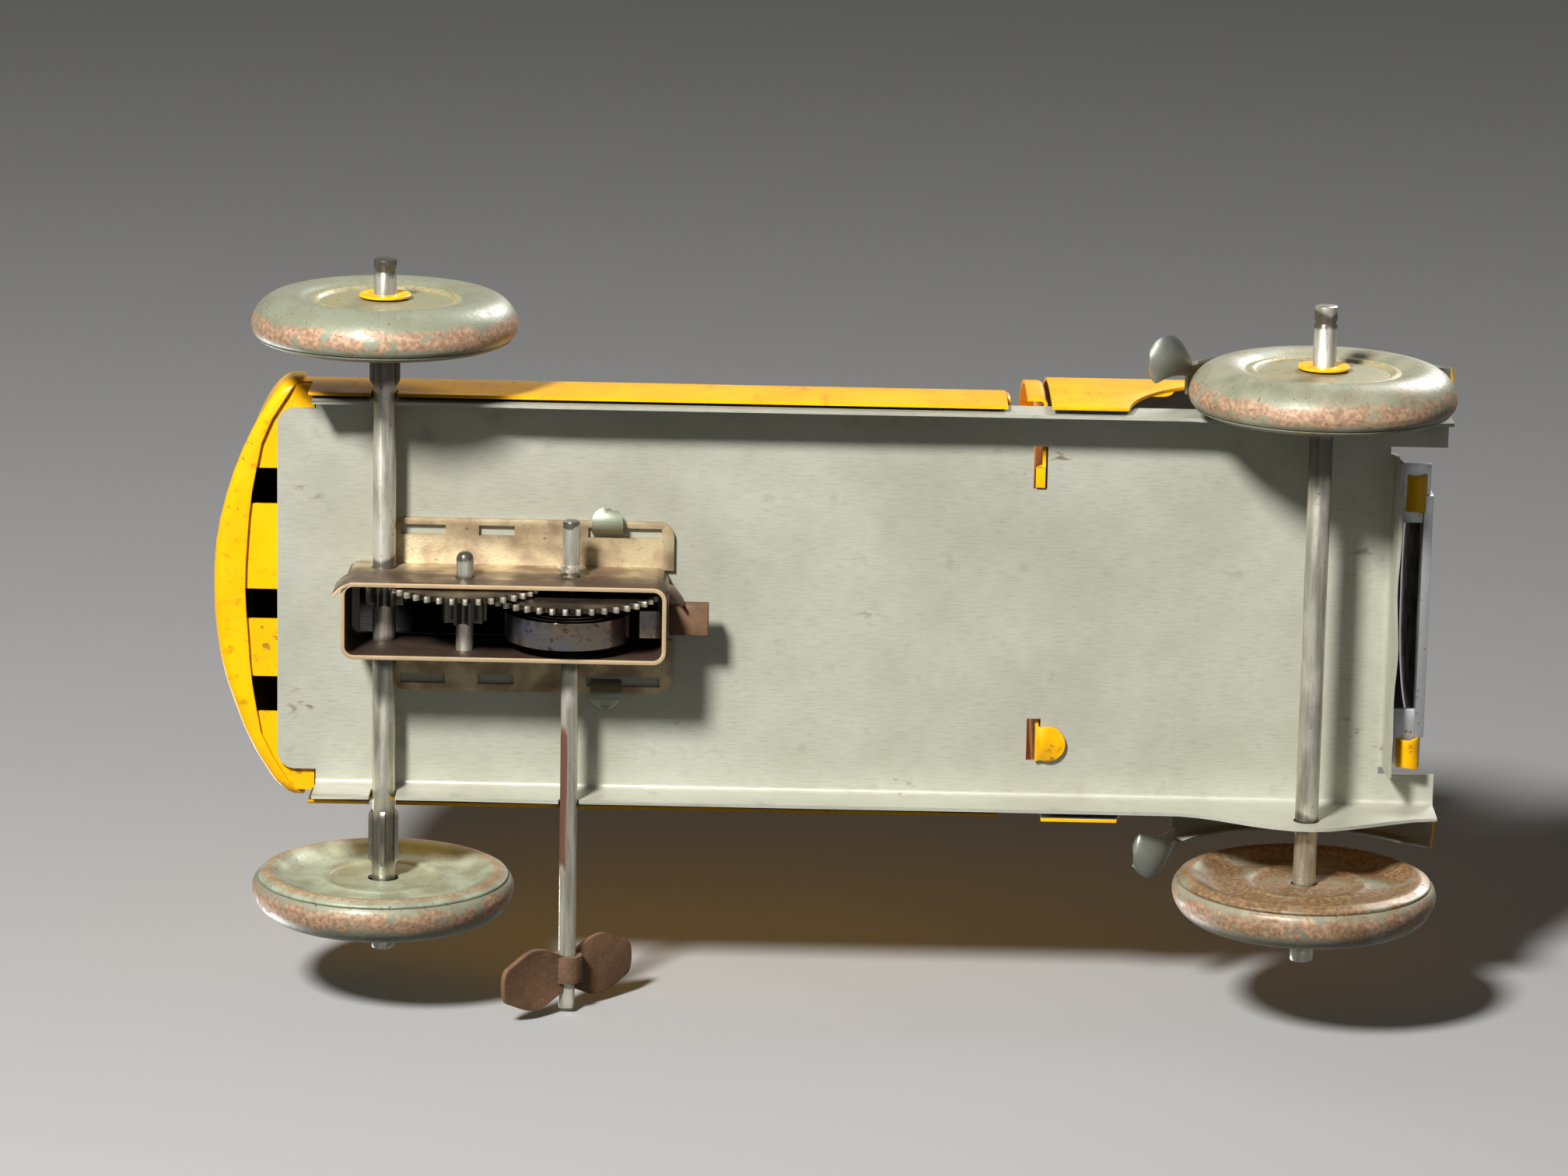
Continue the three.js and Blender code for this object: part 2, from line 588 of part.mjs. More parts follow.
function footPlate(y0, y1) {
  const slots = [[3.5, 9.6], [16, 21.5], [42.2, 48]].map(([x0, x1]) => {
    const middle = y0 < 0 ? y0 + 2.2 : y1 - 2.2;
    return box(x0, x1, middle - 0.9, middle + 0.9, -5, 5);
  });
  return without(box(...FOOT_X, y0, y1, FOOT_TOP - FRAME_SHEET, FOOT_TOP), ...slots);
}

/** The motor's strap: a rounded band on edge, with two feet against the plate. */
function motorFrame() {
  const bandShape = (inset) => {
    const radius = 2.4 - inset;
    const [x0, x1] = [FRAME_X[0] + inset, FRAME_X[1] - inset];
    const [y0, y1] = [FRAME_Y[0] + inset, FRAME_Y[1] - inset];
    return outline([
      ...arcPoints(x1 - radius, y0 + radius, radius, -90, 0, 4),
      ...arcPoints(x1 - radius, y1 - radius, radius, 0, 90, 4),
      ...arcPoints(x0 + radius, y1 - radius, radius, 90, 180, 4),
      ...arcPoints(x0 + radius, y0 + radius, radius, 180, 270, 4),
    ]);
  };
  const band = upright(bandShape(0), -FRAME_DEPTH, FOOT_TOP)
    .subtract(upright(bandShape(FRAME_SHEET), -FRAME_DEPTH - 1, 1));
  const feet = [
    footPlate(FOOT_RIGHT, FRAME_Y[0] + FRAME_SHEET / 2),
    footPlate(FRAME_Y[1] - FRAME_SHEET / 2, FOOT_LEFT),
  ];
  const lug = box(FRAME_X[0] - 3, FRAME_X[0] + 0.3, FRAME_Y[0] + 1.5, FRAME_Y[0] + 2.2, -6.5, -2.5);
  const bearings = [
    bar(0, REAR_AXLE_Z, AXLE_RADIUS + 0.15, -20, 20),
    bar(SECOND_X, SECOND_Z, SECOND_RADIUS + 0.15, -20, 20),
    bar(ARBOR_X, ARBOR_Z, ARBOR_RADIUS + 0.15, -20, 20),
  ];
  return part("motor_frame", without(union(band, ...feet, lug), ...bearings), brassy);
}

function springAnchor() {
  const wallX = FRAME_X[1] + GAP;
  return part("spring_anchor", box(wallX, wallX + 6.8, -0.6, 4.8, -9, -5.6), rusty);
}

/** Mainspring: a flat ribbon wound in a spiral round the arbor, its tail against the end wall. */
function mainspring() {
  const turns = 4;
  const steps = 64;
  const inner = 3.2;
  const outer = 11.9;
  const ribbon = 0.45;
  const edge = (offset) => Array.from({ length: steps + 1 }, (_, i) => {
    const angle = -turns * 2 * Math.PI * i / steps;
    const radius = inner + (outer - inner) * (i / steps) ** 0.85 + offset;
    return [radius * Math.cos(angle), radius * Math.sin(angle)];
  });
  const shape = outline([...edge(ribbon), ...edge(0).reverse()]);
  const coil = across(shape, ...SPRING_Y).translate([ARBOR_X, 0, ARBOR_Z]);
  const tailEnd = FRAME_X[1] - FRAME_SHEET - GAP;
  const tail = box(ARBOR_X + outer, tailEnd, ...SPRING_Y, ARBOR_Z, ARBOR_Z + ribbon);
  return part("mainspring", coil.add(tail), springSteel);
}

function windingArbor() {
  const core = bar(ARBOR_X, ARBOR_Z, 2.6, SPRING_Y[0] - GAP, SPRING_Y[1] + GAP);
  const collarEnd = FRAME_Y[0] - GAP;
  const collar = bar(ARBOR_X, ARBOR_Z, 2.5, collarEnd - 1.3, collarEnd, 20);
  const shaft = bar(ARBOR_X, ARBOR_Z, ARBOR_RADIUS, ...ARBOR_ENDS);
  return part("winding_arbor", union(shaft, core, collar), steel);
}

function greatWheel() {
  const phase = gapAt(SECOND_TO_ARBOR + Math.PI, GREAT_TEETH);
  const blank = gear(GREAT_TEETH, phase, ARBOR_RADIUS + GAP, ARBOR_X, ARBOR_Z, ...GREAT_Y);
  return part("great_wheel", blank, brassy);
}

/** Ratchet wheel: saw teeth that the click holds one way. */
function ratchetWheel() {
  const teeth = 14;
  const tip = 4.7;
  const root = 3.7;
  const points = [];
  for (let i = 0; i < teeth; i += 1) {
    const base = 2 * Math.PI * i / teeth;
    const next = 2 * Math.PI * (i + 0.86) / teeth;
    points.push([tip * Math.cos(base), tip * Math.sin(base)]);
    points.push([root * Math.cos(next), root * Math.sin(next)]);
  }
  const shape = outline(points);
  const hole = new THREE.Path();
  hole.absarc(0, 0, ARBOR_RADIUS + GAP, 0, 2 * Math.PI, true);
  shape.holes.push(hole);
  return part("ratchet_wheel", across(shape, ...CLICK_Y).translate([ARBOR_X, 0, ARBOR_Z]), steel);
}

/** Click: a small pawl riveted on the great wheel, its nose just clear of the ratchet teeth. */
function click() {
  const body = outline([[-4.9, 1], [-8.6, 6.2], [-10.2, 7.6], [-11.6, 6], [-10.4, 3.8], [-5.6, -0.2]]);
  return part("click", across(body, ...CLICK_Y).translate([ARBOR_X, 0, ARBOR_Z]), steel);
}

function clickSpring() {
  const path = arcPoints(0, 0, 12.2, 200, 168, 8);
  const back = arcPoints(0, 0, 12.6, 168, 200, 8);
  const body = outline([...path, ...back]);
  const strip = across(body, CLICK_Y[0], CLICK_Y[1] - GAP).translate([ARBOR_X, 0, ARBOR_Z]);
  return part("click_spring", strip, springSteel);
}

function secondShaft() {
  const ends = [FRAME_Y[0] - 4.6, FRAME_Y[1] + 0.6];
  const profile = [
    [0, ends[0]], [0.9, ends[0] + 0.3], [SECOND_RADIUS, ends[0] + 1.2],
    [SECOND_RADIUS, ends[1]], [0, ends[1]],
  ];
  return part("second_shaft", turned(profile, SECOND_X, SECOND_Z, 20), steel);
}

function secondGear() {
  const phase = gapAt(AXLE_TO_SECOND + Math.PI, SECOND_TEETH);
  const blank = gear(SECOND_TEETH, phase, SECOND_RADIUS + GAP, SECOND_X, SECOND_Z, ...SECOND_GEAR_Y);
  return part("second_gear", blank, brassy);
}

function secondPinion() {
  const phase = toothAt(SECOND_TO_ARBOR, PINION_TEETH);
  const blank = gear(PINION_TEETH, phase, SECOND_RADIUS + GAP, SECOND_X, SECOND_Z, ...SECOND_PINION_Y);
  return part("second_pinion", blank, steel);
}

function axlePinion() {
  const phase = toothAt(AXLE_TO_SECOND, PINION_TEETH);
  const blank = gear(PINION_TEETH, phase, AXLE_BORE, 0, REAR_AXLE_Z, ...AXLE_PINION_Y);
  return part("axle_pinion", blank, steel);
}

// ---------------------------------------------------------------- axles and wheels

/** A round axle with crimped fins; each fin pair stands out just beyond the shaft. */
function axle(name, x, z, ends, fins) {
  const shaft = bar(x, z, AXLE_RADIUS, ...ends);
  const ribs = fins.flatMap(([y0, y1]) => {
    return [
      box(x - 2.7, x + 2.7, y0, y1, z - 0.45, z + 0.45),
      box(x - 0.45, x + 0.45, y0, y1, z - 2.7, z + 2.7),
    ];
  });
  return part(name, union(shaft, ...ribs), steel);
}

/** Outer half of a pressed wheel: hub, dished face, round tyre and the tread over the joint. */
function wheelOuter(name, x, z, y, side, bore) {
  const w = WHEEL_HALF_WIDTH;
  const profile = [
    [bore, w - 0.9], [11.5, w - 1.6], [13.2, w - 0.6], [17, w], [21.4, w - 1.8],
    [WHEEL_RADIUS, w - 5], [22.3, -w + 1.4], [21.6, -w + 1.4], [22.2, w - 4.6],
    [20.6, w - 2.2], [17, w - 0.7], [12, w - 2.3], [bore, w - 1.6], [bore, w - 0.9],
  ];
  return part(name, turned(profile.map(([r, h]) => [r, y + side * h]), x, z, WHEEL_SIDES), wheelPaint);
}

/** Inner half: a shallow dish with a raised ring, held inside the rim of the outer half. */
function wheelInner(name, x, z, y, side, bore) {
  const w = WHEEL_HALF_WIDTH;
  const profile = [
    [bore, -w + 1.6], [16.6, -w + 1.6], [18.6, -w + 0.2], [20.2, -w], [21.2, -w + 0.9],
    [20.7, -w + 1.6], [18.8, -w + 0.9], [17, -w + 2.3], [bore, -w + 2.3], [bore, -w + 1.6],
  ];
  return part(name, turned(profile.map(([r, h]) => [r, y + side * h]), x, z, WHEEL_SIDES), wheelPaint);
}

function hubWasher(name, x, z, y, side) {
  const inner = y + side * (WHEEL_HALF_WIDTH - 0.9 + GAP);
  const outer = inner + side * 0.5;
  const rim = 4.5;
  const profile = [
    [AXLE_BORE, inner], [rim, inner], [rim, outer], [AXLE_BORE, outer], [AXLE_BORE, inner],
  ];
  return part(name, turned(profile, x, z, 16), brassy);
}

function wheelSet(end, x, z, places, bore) {
  return Object.entries(places).flatMap(([hand, y]) => {
    const side = hand === "left" ? 1 : -1;
    return [
      wheelOuter(`${end}_${hand}_wheel_outer`, x, z, y, side, bore),
      wheelInner(`${end}_${hand}_wheel_inner`, x, z, y, side, bore),
      hubWasher(`${end}_${hand}_washer`, x, z, y, side),
    ];
  });
}

// ---------------------------------------------------------------- key

/** Winding key: two rounded leaves and a strap that wraps the arbor. */
function windingKey() {
  const middle = (KEY_Y[0] + KEY_Y[1]) / 2;
  const half = (KEY_Y[1] - KEY_Y[0]) / 2;
  const leaves = [-1, 1].map((side) => {
    const shape = new THREE.Shape();
    shape.moveTo(side * 1.6, middle - 3.2);
    shape.quadraticCurveTo(side * 4, middle - half, side * KEY_SHOULDER, middle - half);
    shape.quadraticCurveTo(side * KEY_HALF_SPAN, middle - half, side * KEY_HALF_SPAN, middle);
    shape.quadraticCurveTo(side * KEY_HALF_SPAN, middle + half, side * KEY_SHOULDER, middle + half);
    shape.quadraticCurveTo(side * 4, middle + half, side * 1.6, middle + 3.2);
    const sheet = extrude(shape, KEY_SHEET, 4).translate(0, 0, -KEY_SHEET / 2);
    return solid(sheet);
  });
  const bore = ARBOR_RADIUS + GAP;
  const strap = bar(0, 0, bore + 0.9, middle - 3.4, middle + 1.6, 20);
  const key = union(...leaves, strap).subtract(bar(0, 0, bore, 0, REACH));
  return part("winding_key", key.rotate([0, -KEY_LEAN, 0]).translate([ARBOR_X, 0, ARBOR_Z]), rusty);
}

// ---------------------------------------------------------------- assembly

const truck = new THREE.Group();
truck.add(basePlate());
truck.add(tankShell(), tankRearCap(), tankFrontCap());
FILLER_X.forEach((_, index) => truck.add(fillerCap(index)));
truck.add(cabBack(), cabShell(), bonnet(), radiatorGrille());
truck.add(wing("right_wing", -1), wing("left_wing", 1));
truck.add(headlamp("right_headlamp", -1), headlamp("left_headlamp", 1));

truck.add(motorFrame(), springAnchor(), mainspring());
truck.add(windingArbor(), ratchetWheel(), windingKey());
truck.add(greatWheel(), click(), clickSpring());
truck.add(secondShaft(), secondGear(), secondPinion());

truck.add(axle("rear_axle", 0, REAR_AXLE_Z, REAR_AXLE_ENDS, REAR_FINS));
truck.add(axlePinion());
truck.add(...wheelSet("rear", 0, REAR_AXLE_Z, REAR_WHEEL_Y, 3));
truck.add(axle("front_axle", WHEELBASE, FRONT_AXLE_Z, FRONT_AXLE_ENDS, []));
truck.add(...wheelSet("front", WHEELBASE, FRONT_AXLE_Z, FRONT_WHEEL_Y, AXLE_BORE));

truck.rotation.y = -Math.asin((REAR_AXLE_Z - FRONT_AXLE_Z) / WHEELBASE);
truck.updateMatrixWorld(true);

const extent = new THREE.Box3().setFromObject(truck, true);
const middle = extent.getCenter(new THREE.Vector3());
truck.position.set(-middle.x, -middle.y, -extent.min.z);
truck.updateMatrixWorld(true);

const model = new THREE.Group();
model.add(truck);

export default model;
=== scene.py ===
import json
import math

import bmesh
import bpy
from mathutils import Matrix, Vector, noise


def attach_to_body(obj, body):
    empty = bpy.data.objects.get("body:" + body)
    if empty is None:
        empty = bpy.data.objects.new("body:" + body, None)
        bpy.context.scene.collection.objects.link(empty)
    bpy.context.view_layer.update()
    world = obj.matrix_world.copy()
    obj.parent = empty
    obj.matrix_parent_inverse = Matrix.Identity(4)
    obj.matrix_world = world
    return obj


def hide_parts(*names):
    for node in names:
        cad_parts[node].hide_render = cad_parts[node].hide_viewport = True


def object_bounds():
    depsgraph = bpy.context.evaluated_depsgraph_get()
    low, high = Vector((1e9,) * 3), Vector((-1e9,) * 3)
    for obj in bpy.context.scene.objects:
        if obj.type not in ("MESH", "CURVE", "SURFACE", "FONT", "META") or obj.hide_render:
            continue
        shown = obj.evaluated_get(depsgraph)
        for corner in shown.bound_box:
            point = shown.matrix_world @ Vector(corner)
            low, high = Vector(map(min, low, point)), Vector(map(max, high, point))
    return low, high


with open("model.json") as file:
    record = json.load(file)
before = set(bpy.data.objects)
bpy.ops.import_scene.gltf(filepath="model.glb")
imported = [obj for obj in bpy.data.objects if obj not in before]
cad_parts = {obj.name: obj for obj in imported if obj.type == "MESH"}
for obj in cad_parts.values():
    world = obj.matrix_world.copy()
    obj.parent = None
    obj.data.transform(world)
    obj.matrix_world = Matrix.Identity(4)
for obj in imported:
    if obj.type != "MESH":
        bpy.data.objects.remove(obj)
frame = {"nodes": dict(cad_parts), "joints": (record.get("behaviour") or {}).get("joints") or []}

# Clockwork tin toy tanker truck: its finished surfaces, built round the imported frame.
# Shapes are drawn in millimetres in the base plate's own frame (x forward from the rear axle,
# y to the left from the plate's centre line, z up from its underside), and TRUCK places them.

CAD_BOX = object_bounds()

# ---------------------------------------------------------------- driving dimensions

GAP = 0.3
SHEET = 0.6

WHEELBASE = 161.0
WHEEL_HALF_WIDTH = 4.2
AXLE_RADIUS = 2.0
REAR_AXLE_Z = -4.5
FRONT_AXLE_Z = -12.0
WHEELS = {
    "rear_right": (0.0, REAR_AXLE_Z, -49.5), "rear_left": (0.0, REAR_AXLE_Z, 53.1),
    "front_right": (WHEELBASE, FRONT_AXLE_Z, -41.6), "front_left": (WHEELBASE, FRONT_AXLE_Z, 48.7),
}
REAR_AXLE_ENDS = (-59.7, 63.3)
FRONT_AXLE_ENDS = (-56.1, 60.0)

PLATE_REAR = -19.0
PLATE_FRONT = 175.5
PLATE_HALF_WIDTH = 35.4
PLATE_TAIL_HALF_WIDTH = 32.3
PLATE_CORNER = 3.0
FLANGE_REAR = -12.3
FLANGE_FRONT = 184.0
FLANGE_DEPTH = 9.0
LOBE_DEPTH = 17.7
LOBE_REACH = 24.0
FRONT_FLANGE_DEPTH = 8.0
FRONT_FLANGE_HALF_WIDTH = 28.0
EAR_INNER_Y = 29.3
SLOT_X = (112.4, 114.8)
SLOT_Y = (20.6, 28.1)

TANK_HALF_WIDTH = 36.6
TANK_HEIGHT = 50.0
TANK_FRONT = 107.4
SKIRT_DEPTH = 8.5
SKIRT_REAR = -13.0
BOW_REAR = -30.3
BOW_RISE = 11.3
LIP_RISE = 5.2
CAP_BAND = 6.0
CAP_SIDE_BAND = 3.4
FLOOR_SLOTS = ((-21.4, -15.0), (0.2, 5.6), (15.9, 22.3))
FILLER_X = (2.0, 41.0, 80.0)
FILLER_RADIUS = 7.5

CAB_HALF_WIDTH = 36.9
CAB_HEIGHT = 54.0
CAB_BACK_X = 111.0
CAB_REAR = 115.0
CAB_FRONT = 148.0
ARCH_RADIUS = 33.0
BONNET_FRONT = 179.6
BONNET_HALF_WIDTH = 27.0
BONNET_HEIGHT = 33.0
BONNET_TAPER = 0.8
BONNET_FALL = 0.88
WING_RADIUS = 26.6
WING_INNER_Y = 36.4
WING_OUTER_Y = 43.4
TONGUE_INNER_Y = 39.0
TONGUE_OUTER_Y = 48.4
LAMP = (171.0, 33.0, 24.0)

ARBOR_X = 32.6026
ARBOR_Z = -8.7
ARBOR_RADIUS = 1.5
ARBOR_ENDS = (-15.2, 72.5)
SECOND_X = 14.4
SECOND_Z = -11.0989
SECOND_TIP = 13.26
GREAT_TIP = 15.78
FRAME_X = (-6.6, 49.4)
FRAME_Y = (-5.4, 8.1)
FRAME_DEPTH = 17.3
FRAME_SHEET = 0.7
FOOT_X = (1.5, 50.2)
FOOT_Y = (-13.4, 17.4)
SPRING_Y = (0.5, 5.4)
KEY_Y = (60.5, 71.2)
KEY_HALF_SPAN = 15.2
KEY_SHOULDER = 9.0
KEY_SHEET = 1.1
LEAF_MIDDLE = 8.2
KEY_LEAN = math.radians(44.0)

REAR_AXLE = Vector(next(j["pos_m"] for j in frame["joints"] if j["name"] == "rear_axle_spin"))
STANCE = math.asin((REAR_AXLE_Z - FRONT_AXLE_Z) / WHEELBASE)
TRUCK = (
    Matrix.Translation(REAR_AXLE)
    @ Matrix.Rotation(-STANCE, 4, "Y")
    @ Matrix.Scale(0.001, 4)
    @ Matrix.Translation((0, 0, -REAR_AXLE_Z))
)


# ---------------------------------------------------------------- material tools

def srgb(red, green, blue):
    """A screen colour, 0 to 255, as the linear colour that a shader takes."""
    def linear(value):
        share = value / 255
        return share / 12.92 if share <= 0.04045 else ((share + 0.055) / 1.055) ** 2.4
    return linear(red), linear(green), linear(blue), 1.0


class Paint:
    """A node material whose patterns are placed in the truck's own millimetres."""

    def __init__(self, name):
        self.material = bpy.data.materials.new(name)
        self.material.use_nodes = True
        self.tree = self.material.node_tree
        self.shader = next(n for n in self.tree.nodes if n.type == "BSDF_PRINCIPLED")
        place, turn, size = TRUCK.inverted().decompose()
        source = self.tree.nodes.new("ShaderNodeTexCoord").outputs["Object"]
        self.place = self.moved(source, place, turn.to_euler(), size)

    def feed(self, socket, value):
        if isinstance(value, bpy.types.NodeSocket):
            self.tree.links.new(value, socket)
        else:
            socket.default_value = value

    def moved(self, vector, place=(0, 0, 0), turn=(0, 0, 0), size=(1, 1, 1)):
        node = self.tree.nodes.new("ShaderNodeMapping")
        for socket, value in zip(node.inputs, (vector, place, turn, size)):
            self.feed(socket, value)
        return node.outputs[0]

    def math(self, operation, *values):
        node = self.tree.nodes.new("ShaderNodeMath")
        node.operation = operation
        for socket, value in zip(node.inputs, values):
            self.feed(socket, value)
        return node.outputs[0]

    def ramp(self, value, low, high, bottom=0.0, top=1.0):
        """Rises smoothly from bottom to top while value goes from low to high."""
        node = self.tree.nodes.new("ShaderNodeMapRange")
        node.interpolation_type = "SMOOTHSTEP"
        for socket, number in zip(node.inputs, (value, low, high, bottom, top)):
            self.feed(socket, number)
        return node.outputs[0]

    def cloud(self, size, stretch=(1, 1, 1), detail=4.0, seed=0.0, twist=0.0):
        """Noise from 0 to 1 with blotches of about size millimetres, longer along stretch."""
        scale = [1 / (size * s) for s in stretch]
        node = self.tree.nodes.new("ShaderNodeTexNoise")
        shifted = self.moved(self.place, (seed, seed * 0.7, -seed), size=scale)
        self.feed(node.inputs["Vector"], shifted)
        self.feed(node.inputs["Scale"], 1.0)
        self.feed(node.inputs["Detail"], detail)
        self.feed(node.inputs["Distortion"], twist)
        return node.outputs[0]

    def axes(self, vector=None):
        node = self.tree.nodes.new("ShaderNodeSeparateXYZ")
        self.feed(node.inputs[0], vector or self.place)
        return node.outputs

    def radius(self, u, v):
        return self.math("SQRT", self.math("ADD", self.both(u, u), self.both(v, v)))

    def spot(self, centre, inner, outer):
        """1 within inner millimetres of a point, falling to 0 at outer."""
        node = self.tree.nodes.new("ShaderNodeVectorMath")
        node.operation = "DISTANCE"
        self.feed(node.inputs[0], self.place)
        self.feed(node.inputs[1], centre)
        return self.ramp(node.outputs["Value"], inner, outer, 1.0, 0.0)

    def band(self, value, low, high, soft):
        """1 while value is between low and high, with soft edges."""
        rise = self.ramp(value, low - soft, low + soft)
        return self.both(rise, self.ramp(value, high - soft, high + soft, 1.0, 0.0))

    def both(self, first, second):
        return self.math("MULTIPLY", first, second)

    def either(self, first, second):
        return self.math("MAXIMUM", first, second)

    def mix(self, share, first, second):
        node = self.tree.nodes.new("ShaderNodeMix")
        node.data_type = "RGBA"
        for number, value in ((0, share), (6, first), (7, second)):
            self.feed(node.inputs[number], value)
        return node.outputs[2]

    def bump(self, height, depth, before=None):
        """Raises the surface by depth millimetres where height is 1."""
        node = self.tree.nodes.new("ShaderNodeBump")
        self.feed(node.inputs["Strength"], 1.0)
        self.feed(node.inputs["Distance"], depth / 1000)
        self.feed(node.inputs["Height"], height)
        if before is not None:
            self.feed(node.inputs["Normal"], before)
        return node.outputs[0]

    def done(self, **sockets):
        for name, value in sockets.items():
            self.feed(self.shader.inputs[name.replace("_", " ")], value)
        return self.material


RUST = srgb(112, 62, 34)
RUST_BRIGHT = srgb(176, 110, 62)


# ---------------------------------------------------------------- materials

def yellow_enamel(name, wear=1.0, seed=0.0):
    """Baked yellow enamel: soft mottling, brown soil in patches, scuffs and chips to dark tin."""
    paint = Paint(name)
    mottle = paint.cloud(14, seed=seed)
    colour = paint.mix(paint.ramp(mottle, 0.3, 0.75), srgb(252, 190, 2), srgb(244, 174, 2))
    streak = paint.cloud(2.2, stretch=(1, 1, 3.5), detail=6, seed=seed + 4)
    streak = paint.both(paint.ramp(streak, 0.56, 0.78), 0.55 * wear)
    colour = paint.mix(streak, colour, srgb(176, 124, 10))
    patch = paint.ramp(paint.cloud(17, seed=seed + 9, detail=2), 0.45, 0.7)
    chips = paint.both(paint.ramp(paint.cloud(1.5, detail=5, seed=seed + 2), 0.655, 0.685), patch)
    colour = paint.mix(paint.both(chips, min(wear, 1.0)), colour, srgb(84, 62, 34))
    rough = paint.ramp(paint.cloud(5, detail=5, seed=seed + 6), 0.3, 0.7, 0.3, 0.46)
    rough = paint.math("MAXIMUM", rough, paint.both(chips, 0.7))
    orange_peel = paint.bump(paint.cloud(0.9, detail=2, seed=seed), 0.012)
    pitted = paint.bump(paint.math("SUBTRACT", 1.0, chips), 0.05, orange_peel)
    return paint.done(
        Base_Color=colour, Roughness=rough, Normal=pitted,
        Coat_Weight=0.1, Coat_Roughness=0.2, Specular_IOR_Level=0.3,
    )


def tinplate(name, bright, dull, metallic=0.4, rust=0.3, seed=0.0, spots=()):
    """Bare rolled tinplate: lengthways grain, cloudy dulling, rust freckles and stained spots."""
    paint = Paint(name)
    colour = paint.mix(paint.ramp(paint.cloud(34, seed=seed), 0.35, 0.68), bright, dull)
    grain = paint.cloud(0.3, stretch=(9, 1, 1), detail=5, seed=seed + 3)
    colour = paint.mix(paint.ramp(grain, 0.4, 0.85, 0.0, 0.3), colour, srgb(118, 117, 104))
    mottle = paint.cloud(5, detail=6, seed=seed + 7)
    colour = paint.mix(paint.ramp(mottle, 0.58, 0.85, 0.0, 0.5), colour, srgb(132, 128, 104))
    squiggle = paint.cloud(1.3, stretch=(2.4, 1, 1), detail=8, seed=seed + 5, twist=0.5)
    freckle = paint.ramp(paint.cloud(0.8, detail=4, seed=seed + 8), 0.69, 0.74)
    freckle = paint.both(freckle, paint.ramp(paint.cloud(22, seed=seed + 1), 0.42, 0.66))
    worn = paint.both(freckle, rust)
    for centre, reach, strength in spots:
        near = paint.both(paint.spot(centre, reach * 0.25, reach), strength)
        worn = paint.either(worn, paint.both(near, paint.ramp(squiggle, 0.56, 0.68)))
    colour = paint.mix(worn, colour, srgb(104, 74, 48))
    rough = paint.ramp(mottle, 0.3, 0.8, 0.36, 0.56)
    rough = paint.either(rough, paint.both(worn, 0.8))
    ridged = paint.bump(grain, 0.012)
    dented = paint.bump(paint.cloud(19, detail=1, seed=seed + 2), 0.35, ridged)
    return paint.done(Base_Color=colour, Roughness=rough, Metallic=metallic, Normal=dented)


def wheel_enamel(name, wheel, face, inner=False, rusty=0.3, seed=0.0):
    """Thin grey green paint on a pressed wheel: rubbed to rust round the tread, soiled at the hub."""
    x, z, y = WHEELS[wheel]
    side = 1 if y > 0 else -1
    paint = Paint(name)
    along = paint.axes(paint.moved(paint.place, (-x, -y, -z)))
    radius = paint.radius(along[0], along[2])
    height = paint.both(along[1], float(side))
    mottle = paint.cloud(6, detail=6, seed=seed)
    colour = paint.mix(paint.ramp(mottle, 0.34, 0.7), face, srgb(132, 134, 112))
    fine = paint.cloud(0.8, detail=6, seed=seed + 3)
    colour = paint.mix(paint.ramp(fine, 0.55, 0.8, 0.0, 0.4), colour, srgb(176, 172, 140))
    hub = paint.ramp(radius, 9.0, 14.5, 0.35 if inner else 0.75, 0.0)
    colour = paint.mix(paint.both(hub, paint.ramp(mottle, 0.25, 0.65)), colour, srgb(158, 148, 104))
    bead, bead_colour = ((19.4, 21.2), RUST_BRIGHT) if inner else ((11.4, 12.9), srgb(190, 172, 112))
    worn_bead = paint.both(paint.band(radius, *bead, 0.5), paint.ramp(fine, 0.36, 0.6))
    colour = paint.mix(paint.both(worn_bead, 0.7), colour, bead_colour)
    rough_edge = paint.math("ADD", height, paint.both(paint.math("SUBTRACT", mottle, 0.5), 3.4))
    tread = paint.both(paint.band(rough_edge, -2.1, 1.2, 0.6), paint.ramp(radius, 21.3, 22.3))
    tread = paint.both(tread, paint.ramp(paint.cloud(2.6, detail=7, seed=seed + 13), 0.34, 0.5))
    scuffed = paint.mix(paint.ramp(fine, 0.3, 0.75), srgb(150, 112, 88), srgb(202, 166, 132))
    colour = paint.mix(paint.both(tread, 0.92), colour, scuffed)
    blotch = paint.cloud(7, detail=6, seed=seed + 11)
    blotch = paint.both(paint.ramp(blotch, 0.62 - 0.3 * rusty, 0.74 - 0.22 * rusty), rusty)
    rust = paint.mix(paint.ramp(fine, 0.35, 0.7), srgb(112, 80, 52), srgb(154, 124, 84))
    colour = paint.mix(blotch, colour, rust)
    freckle = paint.ramp(paint.cloud(0.7, detail=3, seed=seed + 5), 0.66, 0.71)
    colour = paint.mix(paint.both(freckle, 0.8), colour, RUST)
    bare = paint.either(tread, blotch)
    rough = paint.either(paint.ramp(mottle, 0.3, 0.7, 0.36, 0.5), paint.both(bare, 0.58))
    pitted = paint.bump(freckle, -0.04, paint.bump(fine, 0.05))
    return paint.done(Base_Color=colour, Roughness=rough, Metallic=0.12, Normal=pitted)


